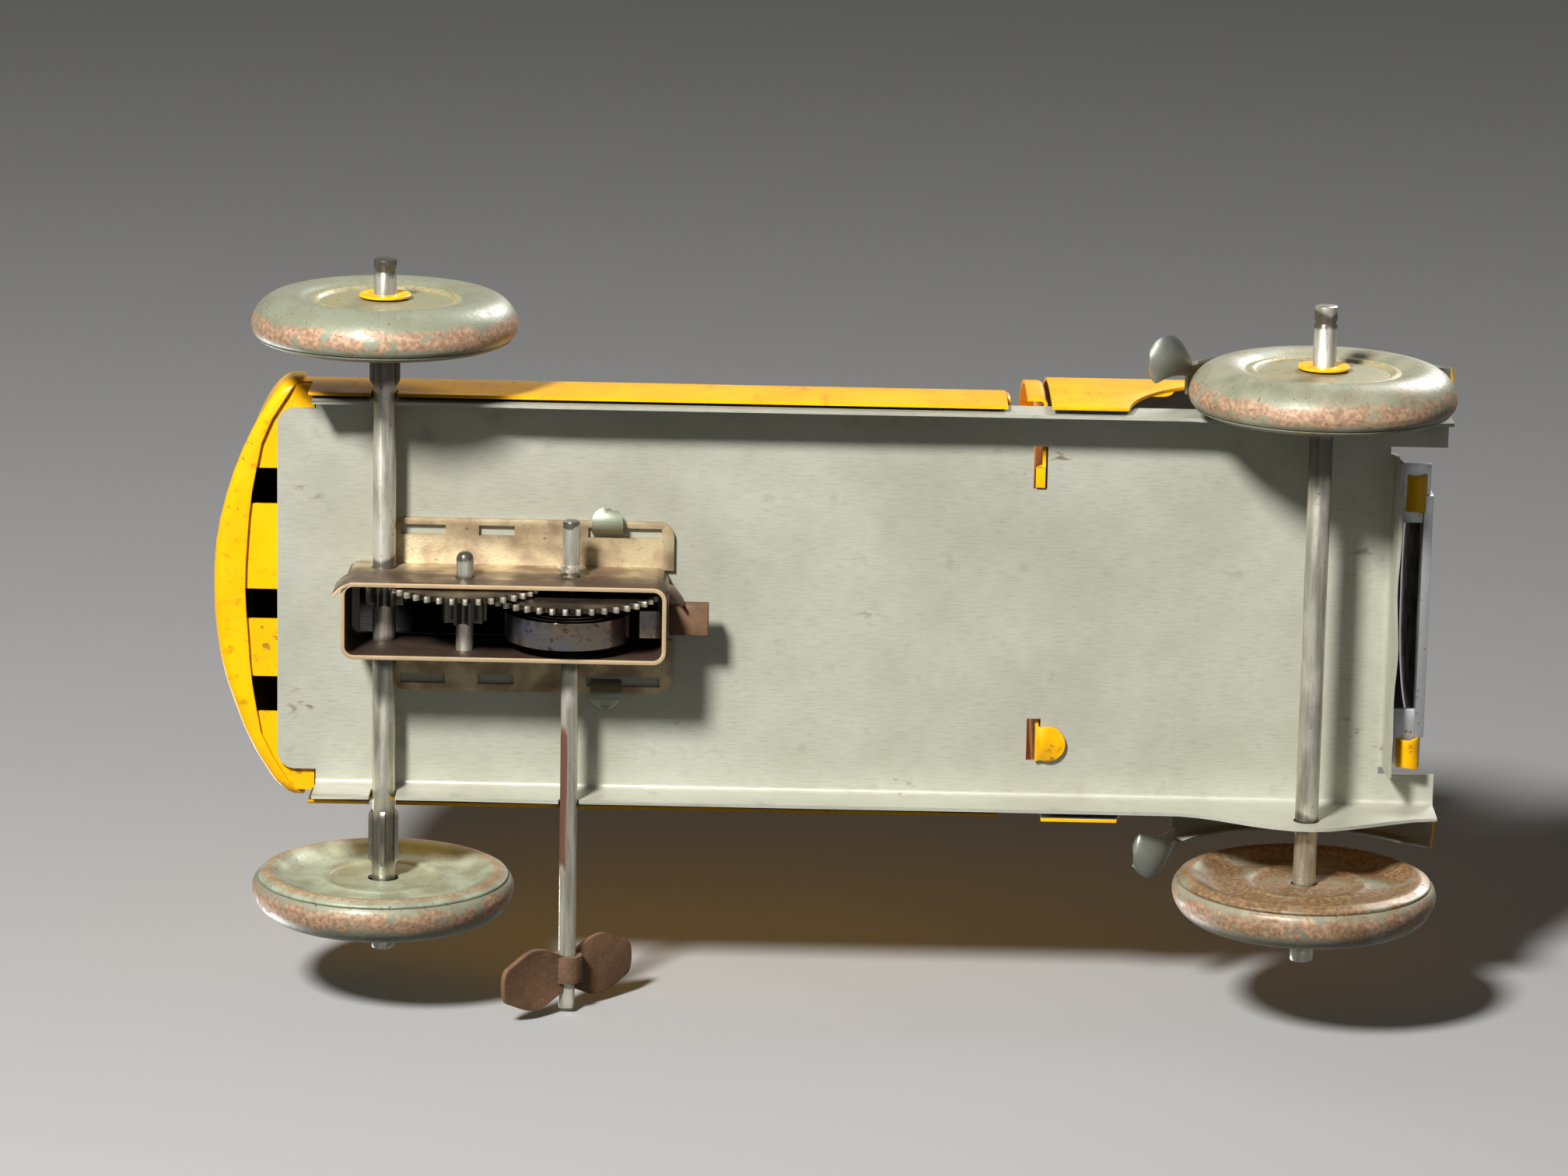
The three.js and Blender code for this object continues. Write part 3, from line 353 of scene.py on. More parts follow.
def drawn_steel(name, seed=0.0, rust_from=None, dark=()):
    """Drawn steel wire, frosted and tarnished along its length; dark lists (y, reach) bands painted
    darker: painted shadow where other parts shade the shaft, and stained spots by its ends.
    """
    paint = Paint(name)
    along = paint.axes()
    streak = paint.cloud(1.1, stretch=(1, 12, 1), detail=5, seed=seed)
    frost = paint.cloud(5, stretch=(1, 3, 1), detail=5, seed=seed + 4)
    colour = paint.mix(paint.ramp(streak, 0.3, 0.72), srgb(226, 222, 204), srgb(166, 162, 146))
    colour = paint.mix(paint.ramp(frost, 0.55, 0.7, 0.0, 0.7), colour, srgb(228, 226, 212))
    worn = paint.ramp(paint.cloud(0.9, detail=5, seed=seed + 7), 0.64, 0.72, 0.0, 0.7)
    # Painted shadow and stained spots: each band darkens the steel around its y.
    for y, reach in dark:
        away = paint.math("ABSOLUTE", paint.math("SUBTRACT", along[1], float(y)))
        ragged = paint.math("ADD", away, paint.both(paint.math("SUBTRACT", frost, 0.5), 5.0))
        colour = paint.mix(paint.ramp(ragged, reach * 0.5, reach, 0.85, 0.0), colour, srgb(84, 78, 72))
    if rust_from is not None:
        low, high, x = rust_from
        edge = paint.math("ADD", along[1], paint.both(paint.math("SUBTRACT", frost, 0.5), 9.0))
        stretch = paint.band(edge, low, high, 1.5)
        facing = paint.math("ADD", along[0], paint.both(streak, 1.4))
        worn = paint.either(worn, paint.both(stretch, paint.ramp(facing, x + 0.2, x + 1.2, 1.0, 0.0)))
    rust = paint.mix(paint.ramp(paint.cloud(0.7, detail=5, seed=seed), 0.45, 0.7), srgb(96, 66, 50), RUST)
    colour = paint.mix(worn, colour, rust)
    rough = paint.either(paint.ramp(frost, 0.4, 0.66, 0.26, 0.5), paint.both(worn, 0.75))
    pits = paint.bump(paint.cloud(0.5, stretch=(1, 4, 1), detail=4, seed=seed + 1), 0.045)
    metal = paint.ramp(worn, 0.0, 0.8, 0.75, 0.1)
    return paint.done(Base_Color=colour, Roughness=rough, Metallic=metal, Normal=pits)


def tarnished_brass(name, bright, dull, seed=0.0, oily_and_shaded=False, tips=None):
    """Brassed steel strip: cream where rubbed, brown where tarnished; for the motor, its inner faces are
    painted near black and rust brown as painted shade inside the box.
    """
    paint = Paint(name)
    along = paint.axes()
    mottle = paint.cloud(6, detail=6, seed=seed)
    fine = paint.cloud(0.8, detail=5, seed=seed + 3)
    colour = paint.mix(paint.ramp(mottle, 0.34, 0.66), bright, dull)
    colour = paint.mix(paint.ramp(fine, 0.6, 0.78, 0.0, 0.7), colour, srgb(96, 66, 42))
    rough = paint.ramp(mottle, 0.3, 0.7, 0.42, 0.6)
    if oily_and_shaded:
        # Painted shade: the band's inner faces, away from the rim, go near black and rust brown.
        inside = paint.both(
            paint.band(along[0], FRAME_X[0] + 0.5, FRAME_X[1] - 0.5, 0.15),
            paint.band(along[1], FRAME_Y[0] + 0.5, FRAME_Y[1] - 0.5, 0.15),
        )
        edge = paint.ramp(along[2], -FRAME_DEPTH + 0.15, -FRAME_DEPTH + 0.5)
        inner_shade = paint.mix(paint.ramp(mottle, 0.5, 0.62), srgb(24, 19, 15), srgb(84, 52, 28))
        colour = paint.mix(paint.both(paint.both(inside, edge), 0.93), colour, inner_shade)
        deep = paint.ramp(along[2], -11.0, -1.2, 0.95, 0.0)
        deep = paint.both(deep, paint.ramp(mottle, 0.2, 0.5, 0.7, 1.0))
        colour = paint.mix(deep, colour, srgb(84, 66, 54))
        rim = paint.ramp(along[2], -FRAME_DEPTH + 0.05, -FRAME_DEPTH + 0.35, 0.85, 0.0)
        colour = paint.mix(rim, colour, srgb(214, 186, 146))
    if tips is not None:
        x, z, reach = tips
        u, v = paint.math("SUBTRACT", along[0], x), paint.math("SUBTRACT", along[2], z)
        radius = paint.radius(u, v)
        colour = paint.mix(paint.ramp(radius, reach - 1.0, reach - 0.3), colour, srgb(196, 188, 170))
    pits = paint.bump(paint.cloud(0.45, detail=4, seed=seed + 1), 0.03)
    return paint.done(Base_Color=colour, Roughness=rough, Metallic=0.5 if oily_and_shaded else 0.85, Normal=pits)


def blued_spring(name):
    """Oily spring steel: dark brown with a blue white sheen."""
    paint = Paint(name)
    mottle = paint.cloud(7, detail=5)
    colour = paint.mix(paint.ramp(mottle, 0.36, 0.66), srgb(168, 150, 130), srgb(132, 134, 146))
    oil = paint.ramp(paint.cloud(1.0, detail=5, seed=3), 0.56, 0.74, 0.0, 0.8)
    colour = paint.mix(oil, colour, srgb(66, 44, 30))
    rough = paint.ramp(mottle, 0.3, 0.7, 0.16, 0.34)
    return paint.done(Base_Color=colour, Roughness=rough, Metallic=0.95, Normal=paint.bump(mottle, 0.05))


def brown_rust(name, seed=0.0):
    """Steel rusted to an even velvety brown, with brighter edges and pale grit."""
    paint = Paint(name)
    mottle = paint.cloud(4.5, detail=6, seed=seed)
    fine = paint.cloud(0.6, detail=6, seed=seed + 2)
    colour = paint.mix(paint.ramp(mottle, 0.35, 0.68), srgb(124, 92, 66), srgb(104, 78, 56))
    colour = paint.mix(paint.ramp(fine, 0.56, 0.74, 0.0, 0.6), colour, srgb(138, 100, 66))
    grit = paint.ramp(paint.cloud(0.5, detail=2, seed=seed + 6), 0.72, 0.76)
    colour = paint.mix(paint.both(grit, 0.8), colour, srgb(198, 180, 150))
    rough = paint.ramp(fine, 0.3, 0.7, 0.62, 0.85)
    return paint.done(Base_Color=colour, Roughness=rough, Metallic=0.15, Normal=paint.bump(fine, 0.09))


def silver_enamel(name, seed=0.0, shade_behind=None):
    """Thin silver lacquer, rubbed dull."""
    paint = Paint(name)
    mottle = paint.cloud(5, detail=5, seed=seed)
    colour = paint.mix(paint.ramp(mottle, 0.34, 0.7), srgb(198, 200, 200), srgb(176, 179, 180))
    speck = paint.ramp(paint.cloud(0.9, detail=5, seed=seed + 3), 0.64, 0.72, 0.0, 0.8)
    colour = paint.mix(speck, colour, srgb(92, 84, 70))
    if shade_behind is not None:
        # Painted shade: the grille's recess behind the bars is painted near black.
        along = paint.axes()
        core = paint.ramp(along[0], shade_behind - 0.1, shade_behind + 0.1, 0.95, 0.0)
        core = paint.both(core, paint.band(along[2], 1.3, 60.0, 0.1))
        colour = paint.mix(core, colour, srgb(44, 40, 36))
    rough = paint.ramp(mottle, 0.3, 0.7, 0.26, 0.46)
    bumps = paint.bump(paint.cloud(1.0, detail=3, seed=seed), 0.02)
    return paint.done(Base_Color=colour, Roughness=rough, Metallic=0.75, Normal=bumps)


PLATE_STAINS = (
    ((-13.5, 20.5, 0), 5.0, 0.8), ((-14.0, -17.0, 0), 4.0, 0.5), ((116.8, -26.5, 0), 3.2, 0.8),
    ((170.0, -8.5, 0), 5.0, 0.6), ((170.0, 21.0, 0), 5.0, 0.6), ((85.0, 2.0, 0), 4.0, 0.35),
    ((90.5, 33.5, 0), 4.0, 0.6), ((174.0, 27.0, -1), 5.0, 0.8), ((50.0, 22.0, 0), 3.0, 0.35),
)
YELLOW = yellow_enamel("worn yellow enamel")
YELLOW_CAP = yellow_enamel("soiled yellow enamel", wear=1.7, seed=5.0)
TIN = tinplate("bare tinplate", srgb(190, 190, 175), srgb(176, 176, 159), 0.2, spots=PLATE_STAINS)
TIN_INSIDE = tinplate("tinplate inside", srgb(150, 152, 150), srgb(116, 118, 118), 0.5, 0.7, seed=6.0)
TIN_LUG = tinplate("tinplate lug", srgb(170, 176, 150), srgb(116, 126, 112), 0.5, 1.0, seed=2.0)
BRASS_MOTOR = tarnished_brass("tarnished motor strip", srgb(196, 178, 140), srgb(146, 124, 96), oily_and_shaded=True)
GREAT_METAL, SECOND_METAL = (
    tarnished_brass(name, srgb(96, 86, 72), srgb(46, 40, 34), seed=seed, tips=tips)
    for name, seed, tips in (
        ("oiled great wheel", 3.0, (ARBOR_X, ARBOR_Z, GREAT_TIP)),
        ("oiled second gear", 7.0, (SECOND_X, SECOND_Z, SECOND_TIP)),
    )
)
# The tank's inner faces: tinplate painted near black as the shade inside the closed tank, with rust
# freckles.
TANK_INSIDE_SHADE = tinplate("tank inside painted shade", srgb(58, 54, 48), srgb(38, 35, 31), 0.3, 0.9, seed=11.0)
TIN_BARE = tinplate("scraped tinplate", srgb(140, 144, 132), srgb(98, 102, 96), 0.5, 0.9, seed=9.0)
# The pinions are painted darker around y=2 as painted shade inside the motor frame.
STEEL_GEAR = drawn_steel("pinion steel", seed=8.0, dark=((2, 5),))
SPRING = blued_spring("blued spring steel")
KEY_RUST = brown_rust("brown rust")
STUB_RUST = brown_rust("dark rust", seed=4.0)
SILVER = silver_enamel("worn silver lacquer")
# Its recess behind the bars is painted dark as shade.
SILVER_GRILLE = silver_enamel("silvered grille", seed=2.0, shade_behind=BONNET_FRONT + GAP + 0.8)
WASHER = yellow_enamel("lacquered washer", wear=1.4, seed=2.5)


# ---------------------------------------------------------------- mesh tools

def grid(rows, wrap=False, keep=None):
    """A skin of quads over rows of points; keep(i, j) may leave a quad out."""
    skin = bmesh.new()
    verts = [[skin.verts.new(point) for point in row] for row in rows]
    width = len(rows[0])
    for i in range(len(rows) - 1):
        for j in range(width if wrap else width - 1):
            if keep is None or keep(i, j):
                after = (j + 1) % width
                skin.faces.new((verts[i][j], verts[i][after], verts[i + 1][after], verts[i + 1][j]))
    bmesh.ops.remove_doubles(skin, verts=skin.verts, dist=1e-4)
    loose = [v for v in skin.verts if not v.link_faces]
    bmesh.ops.delete(skin, geom=loose, context="VERTS")
    return skin


def outward(shape):
    bmesh.ops.recalc_face_normals(shape, faces=shape.faces)
    return shape


def turned(profile, x, z, steps=96):
    """A closed body from a profile of (radius, y) turned about a line along y."""
    angles = [2 * math.pi * k / steps for k in range(steps)]
    rows = [[(x + r * math.cos(a), y, z + r * math.sin(a)) for a in angles] for r, y in profile]
    return outward(grid(rows, wrap=True))


def ring(profile, x, z, steps=48):
    """A turned body with a bore, from a profile given once round."""
    return turned([*profile, profile[0]], x, z, steps)


def bar(x, z, radius, y0, y1, steps=48, nose=0.3):
    profile = [
        (0, y0), (radius - nose, y0), (radius - nose * 0.3, y0 + nose * 0.3), (radius, y0 + nose),
        (radius, y1 - nose), (radius - nose * 0.3, y1 - nose * 0.3), (radius - nose, y1), (0, y1),
    ]
    return turned(profile, x, z, steps)


def prism(outline, low, high, axis):
    """An outline drawn out along one axis; it is given in the two other axes, in x, y, z order."""
    def point(u, v, w):
        return {"x": (w, u, v), "y": (u, w, v), "z": (u, v, w)}[axis]
    shape = bmesh.new()
    rings = [[shape.verts.new(point(u, v, w)) for u, v in outline] for w in (low, high)]
    for ring in rings:
        shape.faces.new(ring)
    for i in range(len(outline)):
        after = (i + 1) % len(outline)
        shape.faces.new((rings[0][i], rings[0][after], rings[1][after], rings[1][i]))
    return outward(shape)


def block(x0, x1, y0, y1, z0, z1):
    return prism([(x0, y0), (x1, y0), (x1, y1), (x0, y1)], z0, z1, "z")


def arc(cx, cy, radius, start, end, steps):
    angles = [math.radians(start + (end - start) * k / steps) for k in range(steps + 1)]
    return [(cx + radius * math.cos(a), cy + radius * math.sin(a)) for a in angles]


def flowing(points, steps=5):
    """A smooth curve through points; a point given twice stays a corner."""
    ends = [points[0], *points, points[-1]]
    curve = []
    for p0, p1, p2, p3 in zip(ends, ends[1:], ends[2:], ends[3:]):
        if p1 == p2:
            continue
        for k in range(steps):
            t = k / steps
            curve.append(tuple(
                0.5 * (
                    2 * b + (c - a) * t + (2 * a - 5 * b + 4 * c - d) * t * t
                    + (3 * b - a - 3 * c + d) * t ** 3
                )
                for a, b, c, d in zip(p0, p1, p2, p3)
            ))
    return [*curve, points[-1]]


def shown(name, mesh):
    made = bpy.data.objects.new(name, mesh)
    bpy.context.scene.collection.objects.link(made)
    return made


def held(name, shape):
    mesh = bpy.data.meshes.new(name)
    shape.to_mesh(mesh)
    shape.free()
    return shown(name, mesh)


def sheeted(draft, thickness, rim_paint=0):
    """Thickens the draft's skin evenly to both sides."""
    step = draft.modifiers.new("sheet", "SOLIDIFY")
    step.thickness = thickness
    step.offset = 0
    step.use_even_offset = True
    step.material_offset = rim_paint


def worked(draft, add, cut):
    """Joins shapes to the draft and cuts others from it; settled() clears away what this returns."""
    tools = []
    for operation, shapes in (("UNION", add), ("DIFFERENCE", cut)):
        for other in shapes:
            tools.append(held("tool", other))
            step = draft.modifiers.new(operation, "BOOLEAN")
            step.operation = operation
            step.solver = "EXACT"
            step.object = tools[-1]
    return tools


def rounded(draft, width, sharper_than, segments=2):
    """Rounds every edge that turns by more than an angle in degrees."""
    edge = draft.modifiers.new("edge", "BEVEL")
    edge.width = width
    edge.segments = segments
    edge.limit_method = "ANGLE"
    edge.angle_limit = math.radians(sharper_than)


def settled(draft, tools, frame_matrix, angle):
    """The draft's mesh with its modifiers worked out, in metres, shaded smooth up to angle."""
    graph = bpy.context.evaluated_depsgraph_get()
    mesh = bpy.data.meshes.new_from_object(draft.evaluated_get(graph))
    for used in (draft, *tools):
        bpy.data.objects.remove(used)
    mesh.transform(frame_matrix)
    mesh.shade_smooth()
    mesh.set_sharp_from_angle(angle=math.radians(angle))
    return mesh


def shaped(draft, tools=(), angle=180):
    """The settled draft as a shape again, for more work."""
    mesh = settled(draft, tools, Matrix.Identity(4), angle)
    shape = bmesh.new()
    shape.from_mesh(mesh)
    bpy.data.meshes.remove(mesh)
    return shape


def thickened(skin, thickness=SHEET):
    """A closed sheet from a skin, for joining to another."""
    draft = held("skin", skin)
    sheeted(draft, thickness)
    return shaped(draft)


def attach(name, mesh, body, nodes):
    made = shown(name, mesh)
    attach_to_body(made, body)
    if nodes:
        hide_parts(*nodes)
    return made


def piece(
    node, shape, paints, body, add=(), cut=(), sheet=0.0, bevel=0.12, angle=38, warp=None,
    second=None,
):
    """Finishes a shape: thickens a skin to a sheet, joins and cuts, rounds edges, and rides a body."""
    draft = held("draft", shape)
    for paint in paints:
        draft.data.materials.append(paint)
    if sheet:
        sheeted(draft, sheet, 0 if second else len(paints) - 1)
    tools = worked(draft, add, cut)
    if bevel:
        rounded(draft, bevel, 40)
    mesh = settled(draft, tools, Matrix.Identity(4), angle)
    if second:
        for face in mesh.polygons:
            face.material_index = int(second(face.center, face.normal))
    if warp:
        for vertex in mesh.vertices:
            vertex.co = warp(vertex.co)
    mesh.transform(TRUCK)
    return attach(f"{node}_finish", mesh, body, [node])


def softened(node, paint, body, width=0.09):
    """The CAD node's own shape with its flat faces joined and its edges rounded."""
    mesh = frame["nodes"][node].data.copy()
    mesh.materials.clear()
    mesh.materials.append(paint)
    mesh.transform(TRUCK.inverted())
    shape = bmesh.new()
    shape.from_mesh(mesh)
    bmesh.ops.remove_doubles(shape, verts=shape.verts, dist=0.004)
    bmesh.ops.dissolve_limit(shape, angle_limit=math.radians(1), verts=shape.verts, edges=shape.edges)
    shape.to_mesh(mesh)
    shape.free()
    draft = shown("draft", mesh)
    rounded(draft, width, 35)
    return attach(f"{node}_finish", settled(draft, (), TRUCK, 30), body, [node])


def uneven(amount, reach, where):
    """A warp that pushes points about by up to amount, in waves of reach, as where(point) says."""
    offsets = (Vector((0, 0, 0)), Vector((9, 3, 5)), Vector((2, 8, 1)))

    def warp(point):
        shift = Vector([noise.noise(point / reach + offset) for offset in offsets])
        return point + shift * (amount * where(point))
    return warp


# ---------------------------------------------------------------- base plate

def flange_depth(x):
    """Depth of the side flange: level, swelling into a lobe round the front axle, a little dented."""
    away = min(abs(x - WHEELBASE) / LOBE_REACH, 1)
    dent = 0.35 * (noise.noise(Vector((x * 0.11, 0, 0))) - 0.6)
    return FLANGE_DEPTH + dent + (LOBE_DEPTH - FLANGE_DEPTH) * (0.5 + 0.5 * math.cos(math.pi * away))


def shaft_notches():
    """Slots from below up to the rear axle, right across, and to the arbor on the key's side."""
    return [
        prism([(x - half, -20), (x + half, -20), *arc(x, z, half, 0, 180, 16)], start_y, 60, "y")
        for x, z, half, start_y in (
            (0, REAR_AXLE_Z, AXLE_RADIUS + GAP, -60), (ARBOR_X, ARBOR_Z, ARBOR_RADIUS + GAP, 20),
        )
    ]


def motor_lug(edge_y, inward, reach):
    """A tongue of the plate that comes through the motor foot's slot and curls over its edge."""
    rows = []
    for k in range(13):
        t = k / 12
        y = edge_y + inward * (3.4 - reach * (t ** 1.3))
        z = -0.2 - 2.3 * math.sin(math.pi * min(t * 1.15, 1) * 0.78) - 0.5 * t
        half = 2.7 * math.sqrt(max(1 - max(t - 0.55, 0) ** 2 / 0.22, 0.02))
        rows.append([(38.6 + half * s, y, z - 0.5 * (1 - s * s) * t) for s in (-1, -0.5, 0, 0.5, 1)])
    return grid(rows)


def base_plate():
    """Plate, side flanges, front flange and corner ears as one folded sheet with its holes."""
    middle = SHEET / 2
    fold = 1.3
    side = PLATE_HALF_WIDTH - middle
    flat = side - fold
    bend = [
        (flat + fold * math.sin(a), middle - fold + fold * math.cos(a), 0.0)
        for a in (math.radians(15 * k) for k in range(1, 7))
    ]
    drop = [(side, middle - fold, share) for share in (0.35, 0.7, 1.0)]
    breaks = (SLOT_Y[0], SLOT_Y[1], EAR_INNER_Y, flat)
    left = [*((y, middle, 0.0) for y in breaks), *bend, *drop]
    right = [(-y, z, share) for y, z, share in reversed(left)]
    inside = [(FRAME_Y[0] + FRAME_SHEET, middle, 0.0), (FRAME_Y[1] - FRAME_SHEET, middle, 0.0)]
    section = [*right, *inside, *left]
    stations = [FLANGE_REAR, FRAME_X[0] + 2, 14, 30, FRAME_X[1] - 2, 64, 80, 96, *SLOT_X, 126]
    stations += [136 + 3.2 * k for k in range(12)]
    stations += [PLATE_FRONT - fold, PLATE_FRONT, 180, FLANGE_FRONT]
    stations.sort()

    def place(x, y, z, share):
        return (x, y, z - share * (flange_depth(x) + middle - fold))
    rows = [[place(x, *point) for point in section] for x in stations]

    def kept(i, j):
        x = (stations[i] + stations[i + 1]) / 2
        y = (section[j][0] + section[j + 1][0]) / 2
        motor = FRAME_X[0] + 2 < x < FRAME_X[1] - 2 and inside[0][0] < y < inside[1][0]
        slot = SLOT_X[0] < x < SLOT_X[1] and SLOT_Y[0] < abs(y) < SLOT_Y[1]
        front = x > PLATE_FRONT - fold and abs(y) < EAR_INNER_Y
        return not (motor or slot or front)
    tray = grid(rows, keep=kept)
    lip = []
    for k in range(7):
        a = math.radians(15 * k)
        lip.append((PLATE_FRONT - middle - fold + fold * math.sin(a), middle - fold + fold * math.cos(a)))
    lip.append((PLATE_FRONT - middle, -FRONT_FLANGE_DEPTH * 0.5))
    lip.append((PLATE_FRONT - middle + 0.3, -FRONT_FLANGE_DEPTH))
    across = [-FRONT_FLANGE_HALF_WIDTH + FRONT_FLANGE_HALF_WIDTH * k / 12 for k in range(25)]
    front = grid([[(x - 0.5 * (i > 7) * noise.noise(Vector((y * 0.09, i, 1))), y, z) for y in across]
                  for i, (x, z) in enumerate([(PLATE_FRONT - 3.2, middle), *lip])])
    tail = PLATE_TAIL_HALF_WIDTH
    corner = PLATE_REAR + PLATE_CORNER
    tail_outline = [
        (FLANGE_REAR + 0.6, tail), *arc(corner, tail - PLATE_CORNER, PLATE_CORNER, 90, 180, 8),
        *arc(corner, PLATE_CORNER - tail, PLATE_CORNER, 180, 270, 8), (FLANGE_REAR + 0.6, -tail),
    ]
    front_bore = bar(WHEELBASE, FRONT_AXLE_Z, AXLE_RADIUS + GAP, -60, 60, 32, 0)
    lugs = [
        thickened(motor_lug(edge_y, inward, reach), 0.5)
        for edge_y, inward, reach in ((FOOT_Y[0] - 1.2, 1, 5.0), (FOOT_Y[1] + 1.2, -1, 4.4))
    ]
    return piece(
        "base_plate", tray, [TIN, TIN_LUG], "chassis", sheet=SHEET, bevel=0.13,
        add=[prism(tail_outline, 0, SHEET, "z"), thickened(front), *lugs],
        cut=[*shaft_notches(), front_bore],
        second=lambda centre, normal: 34 < centre.x < 43 and centre.z < -0.1 and abs(centre.y - 2) < 18,
    )


# ---------------------------------------------------------------- tank

def bow(y, rise=BOW_RISE):
    """Rearmost x at y of the bowed tank end, or of a flatter bow with the same ends."""
    radius = (PLATE_HALF_WIDTH ** 2 + rise ** 2) / (2 * rise)
    return BOW_REAR + BOW_RISE - rise + radius - math.sqrt(radius ** 2 - y ** 2)


def arch(half_width, height, foot, squareness=2.0, steps=48):
    """Points from the right foot over the top to the left foot."""
    power = 2 / squareness
    points = []
    for k in range(steps + 1):
        angle = math.pi * (1 - k / steps)
        c, s = math.cos(angle), math.sin(angle)
        y = half_width * math.copysign(abs(c) ** power, c)
        z = height * abs(s) ** power
        if z > max(foot, 0) + 0.2:
            points.append((y, z))
    lift = max(foot, 0) / height
    foot_y = half_width * (1 - lift ** squareness) ** (1 / squareness)
    legs = [(foot_y, 0.0), (foot_y, foot / 2), (foot_y, foot)] if foot < 0 else [(foot_y, foot)]
    return [(-y, z) for y, z in reversed(legs)] + points + legs


def closed_arch(half_width, height, foot, corner, squareness=2.0):
    """An arch with a level underside and rounded lower corners, once round."""
    over = [(y, z) for y, z in arch(half_width, height, foot, squareness) if z > foot + corner]
    left = arc(half_width - corner, foot + corner, corner, 0, -90, 5)
    under = [(half_width - corner - (half_width - corner) * 2 * k / 16, foot) for k in range(1, 16)]
    right = arc(corner - half_width, foot + corner, corner, -90, -180, 5)
    return [*over, *left, *under, *right]


def pressed(outline, centre, wall_x, depth, radius, closed, forward=1, rings=7, edge_steps=5):
    """A pressed end: a wall across the outline, a rounded edge, and a band back along x."""
    rows = []
    reach = [math.dist(point, centre) for point in outline]
    stages = [(k / rings, 0.0) for k in range(rings + 1)]
    stages += [(1.0, math.radians(90 * k / edge_steps)) for k in range(1, edge_steps + 1)]
    for flat, a in stages:
        row = []
        for (y, z), far in zip(outline, reach):
            share = flat * (1 - radius * (1 - math.sin(a)) / far)
            u, v = centre[0] + (y - centre[0]) * share, centre[1] + (z - centre[1]) * share
            row.append((wall_x(u, v) + forward * radius * (1 - math.cos(a)), u, v))
        rows.append(row)
    for share in (0.34, 0.67, 1.0):
        row = []
        for y, z in outline:
            start = wall_x(y, z) + forward * radius
            row.append((start + forward * max(depth(y, z) - radius, 0.02) * share, y, z))
        rows.append(row)
    return grid(rows, wrap=closed)


def tank_shell():
    half_width, height = TANK_HALF_WIDTH - SHEET / 2, TANK_HEIGHT - SHEET / 2
    section = arch(half_width, height, 1.3 - SKIRT_DEPTH, steps=64)
    floor_z = SHEET + GAP + SHEET / 2
    rows = []
    for y, z in section:
        rear = bow(y) + SHEET + GAP
        seam = rear + 1.6
        stops = [rear, seam, SKIRT_REAR, 0, 25, 50, 75, 95, TANK_FRONT - 2, TANK_FRONT]
        rows.append([(x, y, z) for x in stops])
    skirt = [min(a[1], b[1]) < floor_z for a, b in zip(section, section[1:])]
    shell = grid(rows, keep=lambda i, j: not (skirt[i] and j < 2))
    ys = {y for pair in FLOOR_SLOTS for y in pair} | {-half_width, half_width}
    ys = sorted(ys | {-34, -30, -26, -8, 8, 11, 26, 30, 34})
    slots = []
    floor = []
    for k, y in enumerate(ys):
        rear = bow(y) + SHEET + GAP
        front = PLATE_REAR + 2.5
        inner = max(rear + 0.3, BOW_REAR + CAP_BAND - 1)
        floor.append([(x, y, floor_z) for x in (rear, min(inner, front - 0.5), front, FLANGE_REAR - GAP)])
        if k:
            middle = (ys[k - 1] + y) / 2
            slots.append(any(low < middle < high for low, high in FLOOR_SLOTS))
    strip = thickened(grid(floor, keep=lambda i, j: not (slots[i] and j == 1)))
    return piece(
        # The shell's inner faces take the tank's painted shade.
        "tank_shell", shell, [YELLOW, TANK_INSIDE_SHADE], "chassis",
        add=[strip], cut=shaft_notches(), sheet=SHEET, bevel=0.1,
    )


def tank_rear_cap():
    """Dished, bowed end pressed over the shell, its lower lip a crescent under the truck's tail."""
    middle = SHEET / 2
    outline = closed_arch(TANK_HALF_WIDTH + GAP + middle, TANK_HEIGHT + GAP + middle, middle, 2.6)
    half_width = TANK_HALF_WIDTH + GAP + middle
    centre = (0.0, 20.0)

    def wall_x(y, z):
        share = math.hypot(y / half_width, (z - 12) / 38.5)
        step = 0.9 * (0.5 + 0.5 * math.tanh((0.8 - share) / 0.03)) if z > 3 else 0
        return bow(y) + middle + step

    def depth(y, z):
        crescent = bow(y, LIP_RISE) - GAP - bow(y) - middle
        rise = min(max((z - 0.6) / 3.0, 0), 1)
        return max(crescent, 2.2) * (1 - rise) + (CAP_SIDE_BAND - middle) * rise
    skin = pressed(outline, centre, wall_x, depth, 1.7, True, rings=18)
    wave = uneven(0.35, 9.0, lambda p: min(max((3 - p.z) / 3, 0), 1) * 0.8 + 0.15)
    return piece(
        "tank_rear_cap", skin, [YELLOW_CAP], "chassis", sheet=SHEET, bevel=0.12,
        warp=lambda p: Vector((max(wave(p).x, BOW_REAR + 0.02), p.y, wave(p).z if p.z > 2 else p.z)),
    )


def tank_front_cap():
    middle = SHEET / 2
    outline = closed_arch(TANK_HALF_WIDTH - 0.5, TANK_HEIGHT - 0.5, SHEET + GAP + middle, 2.4)

    def wall_x(y, z):
        dished = math.hypot(y / 36, (z - 14) / 36) < 0.78
        return TANK_FRONT + GAP + middle - 0.6 * dished
    skin = pressed(outline, (0.0, 20.0), wall_x, lambda y, z: 1.8, 0.5, True, forward=-1, rings=14)
    return piece(
        "tank_front_cap", skin, [YELLOW], "chassis", sheet=SHEET * 0.7, bevel=0.08,
    )


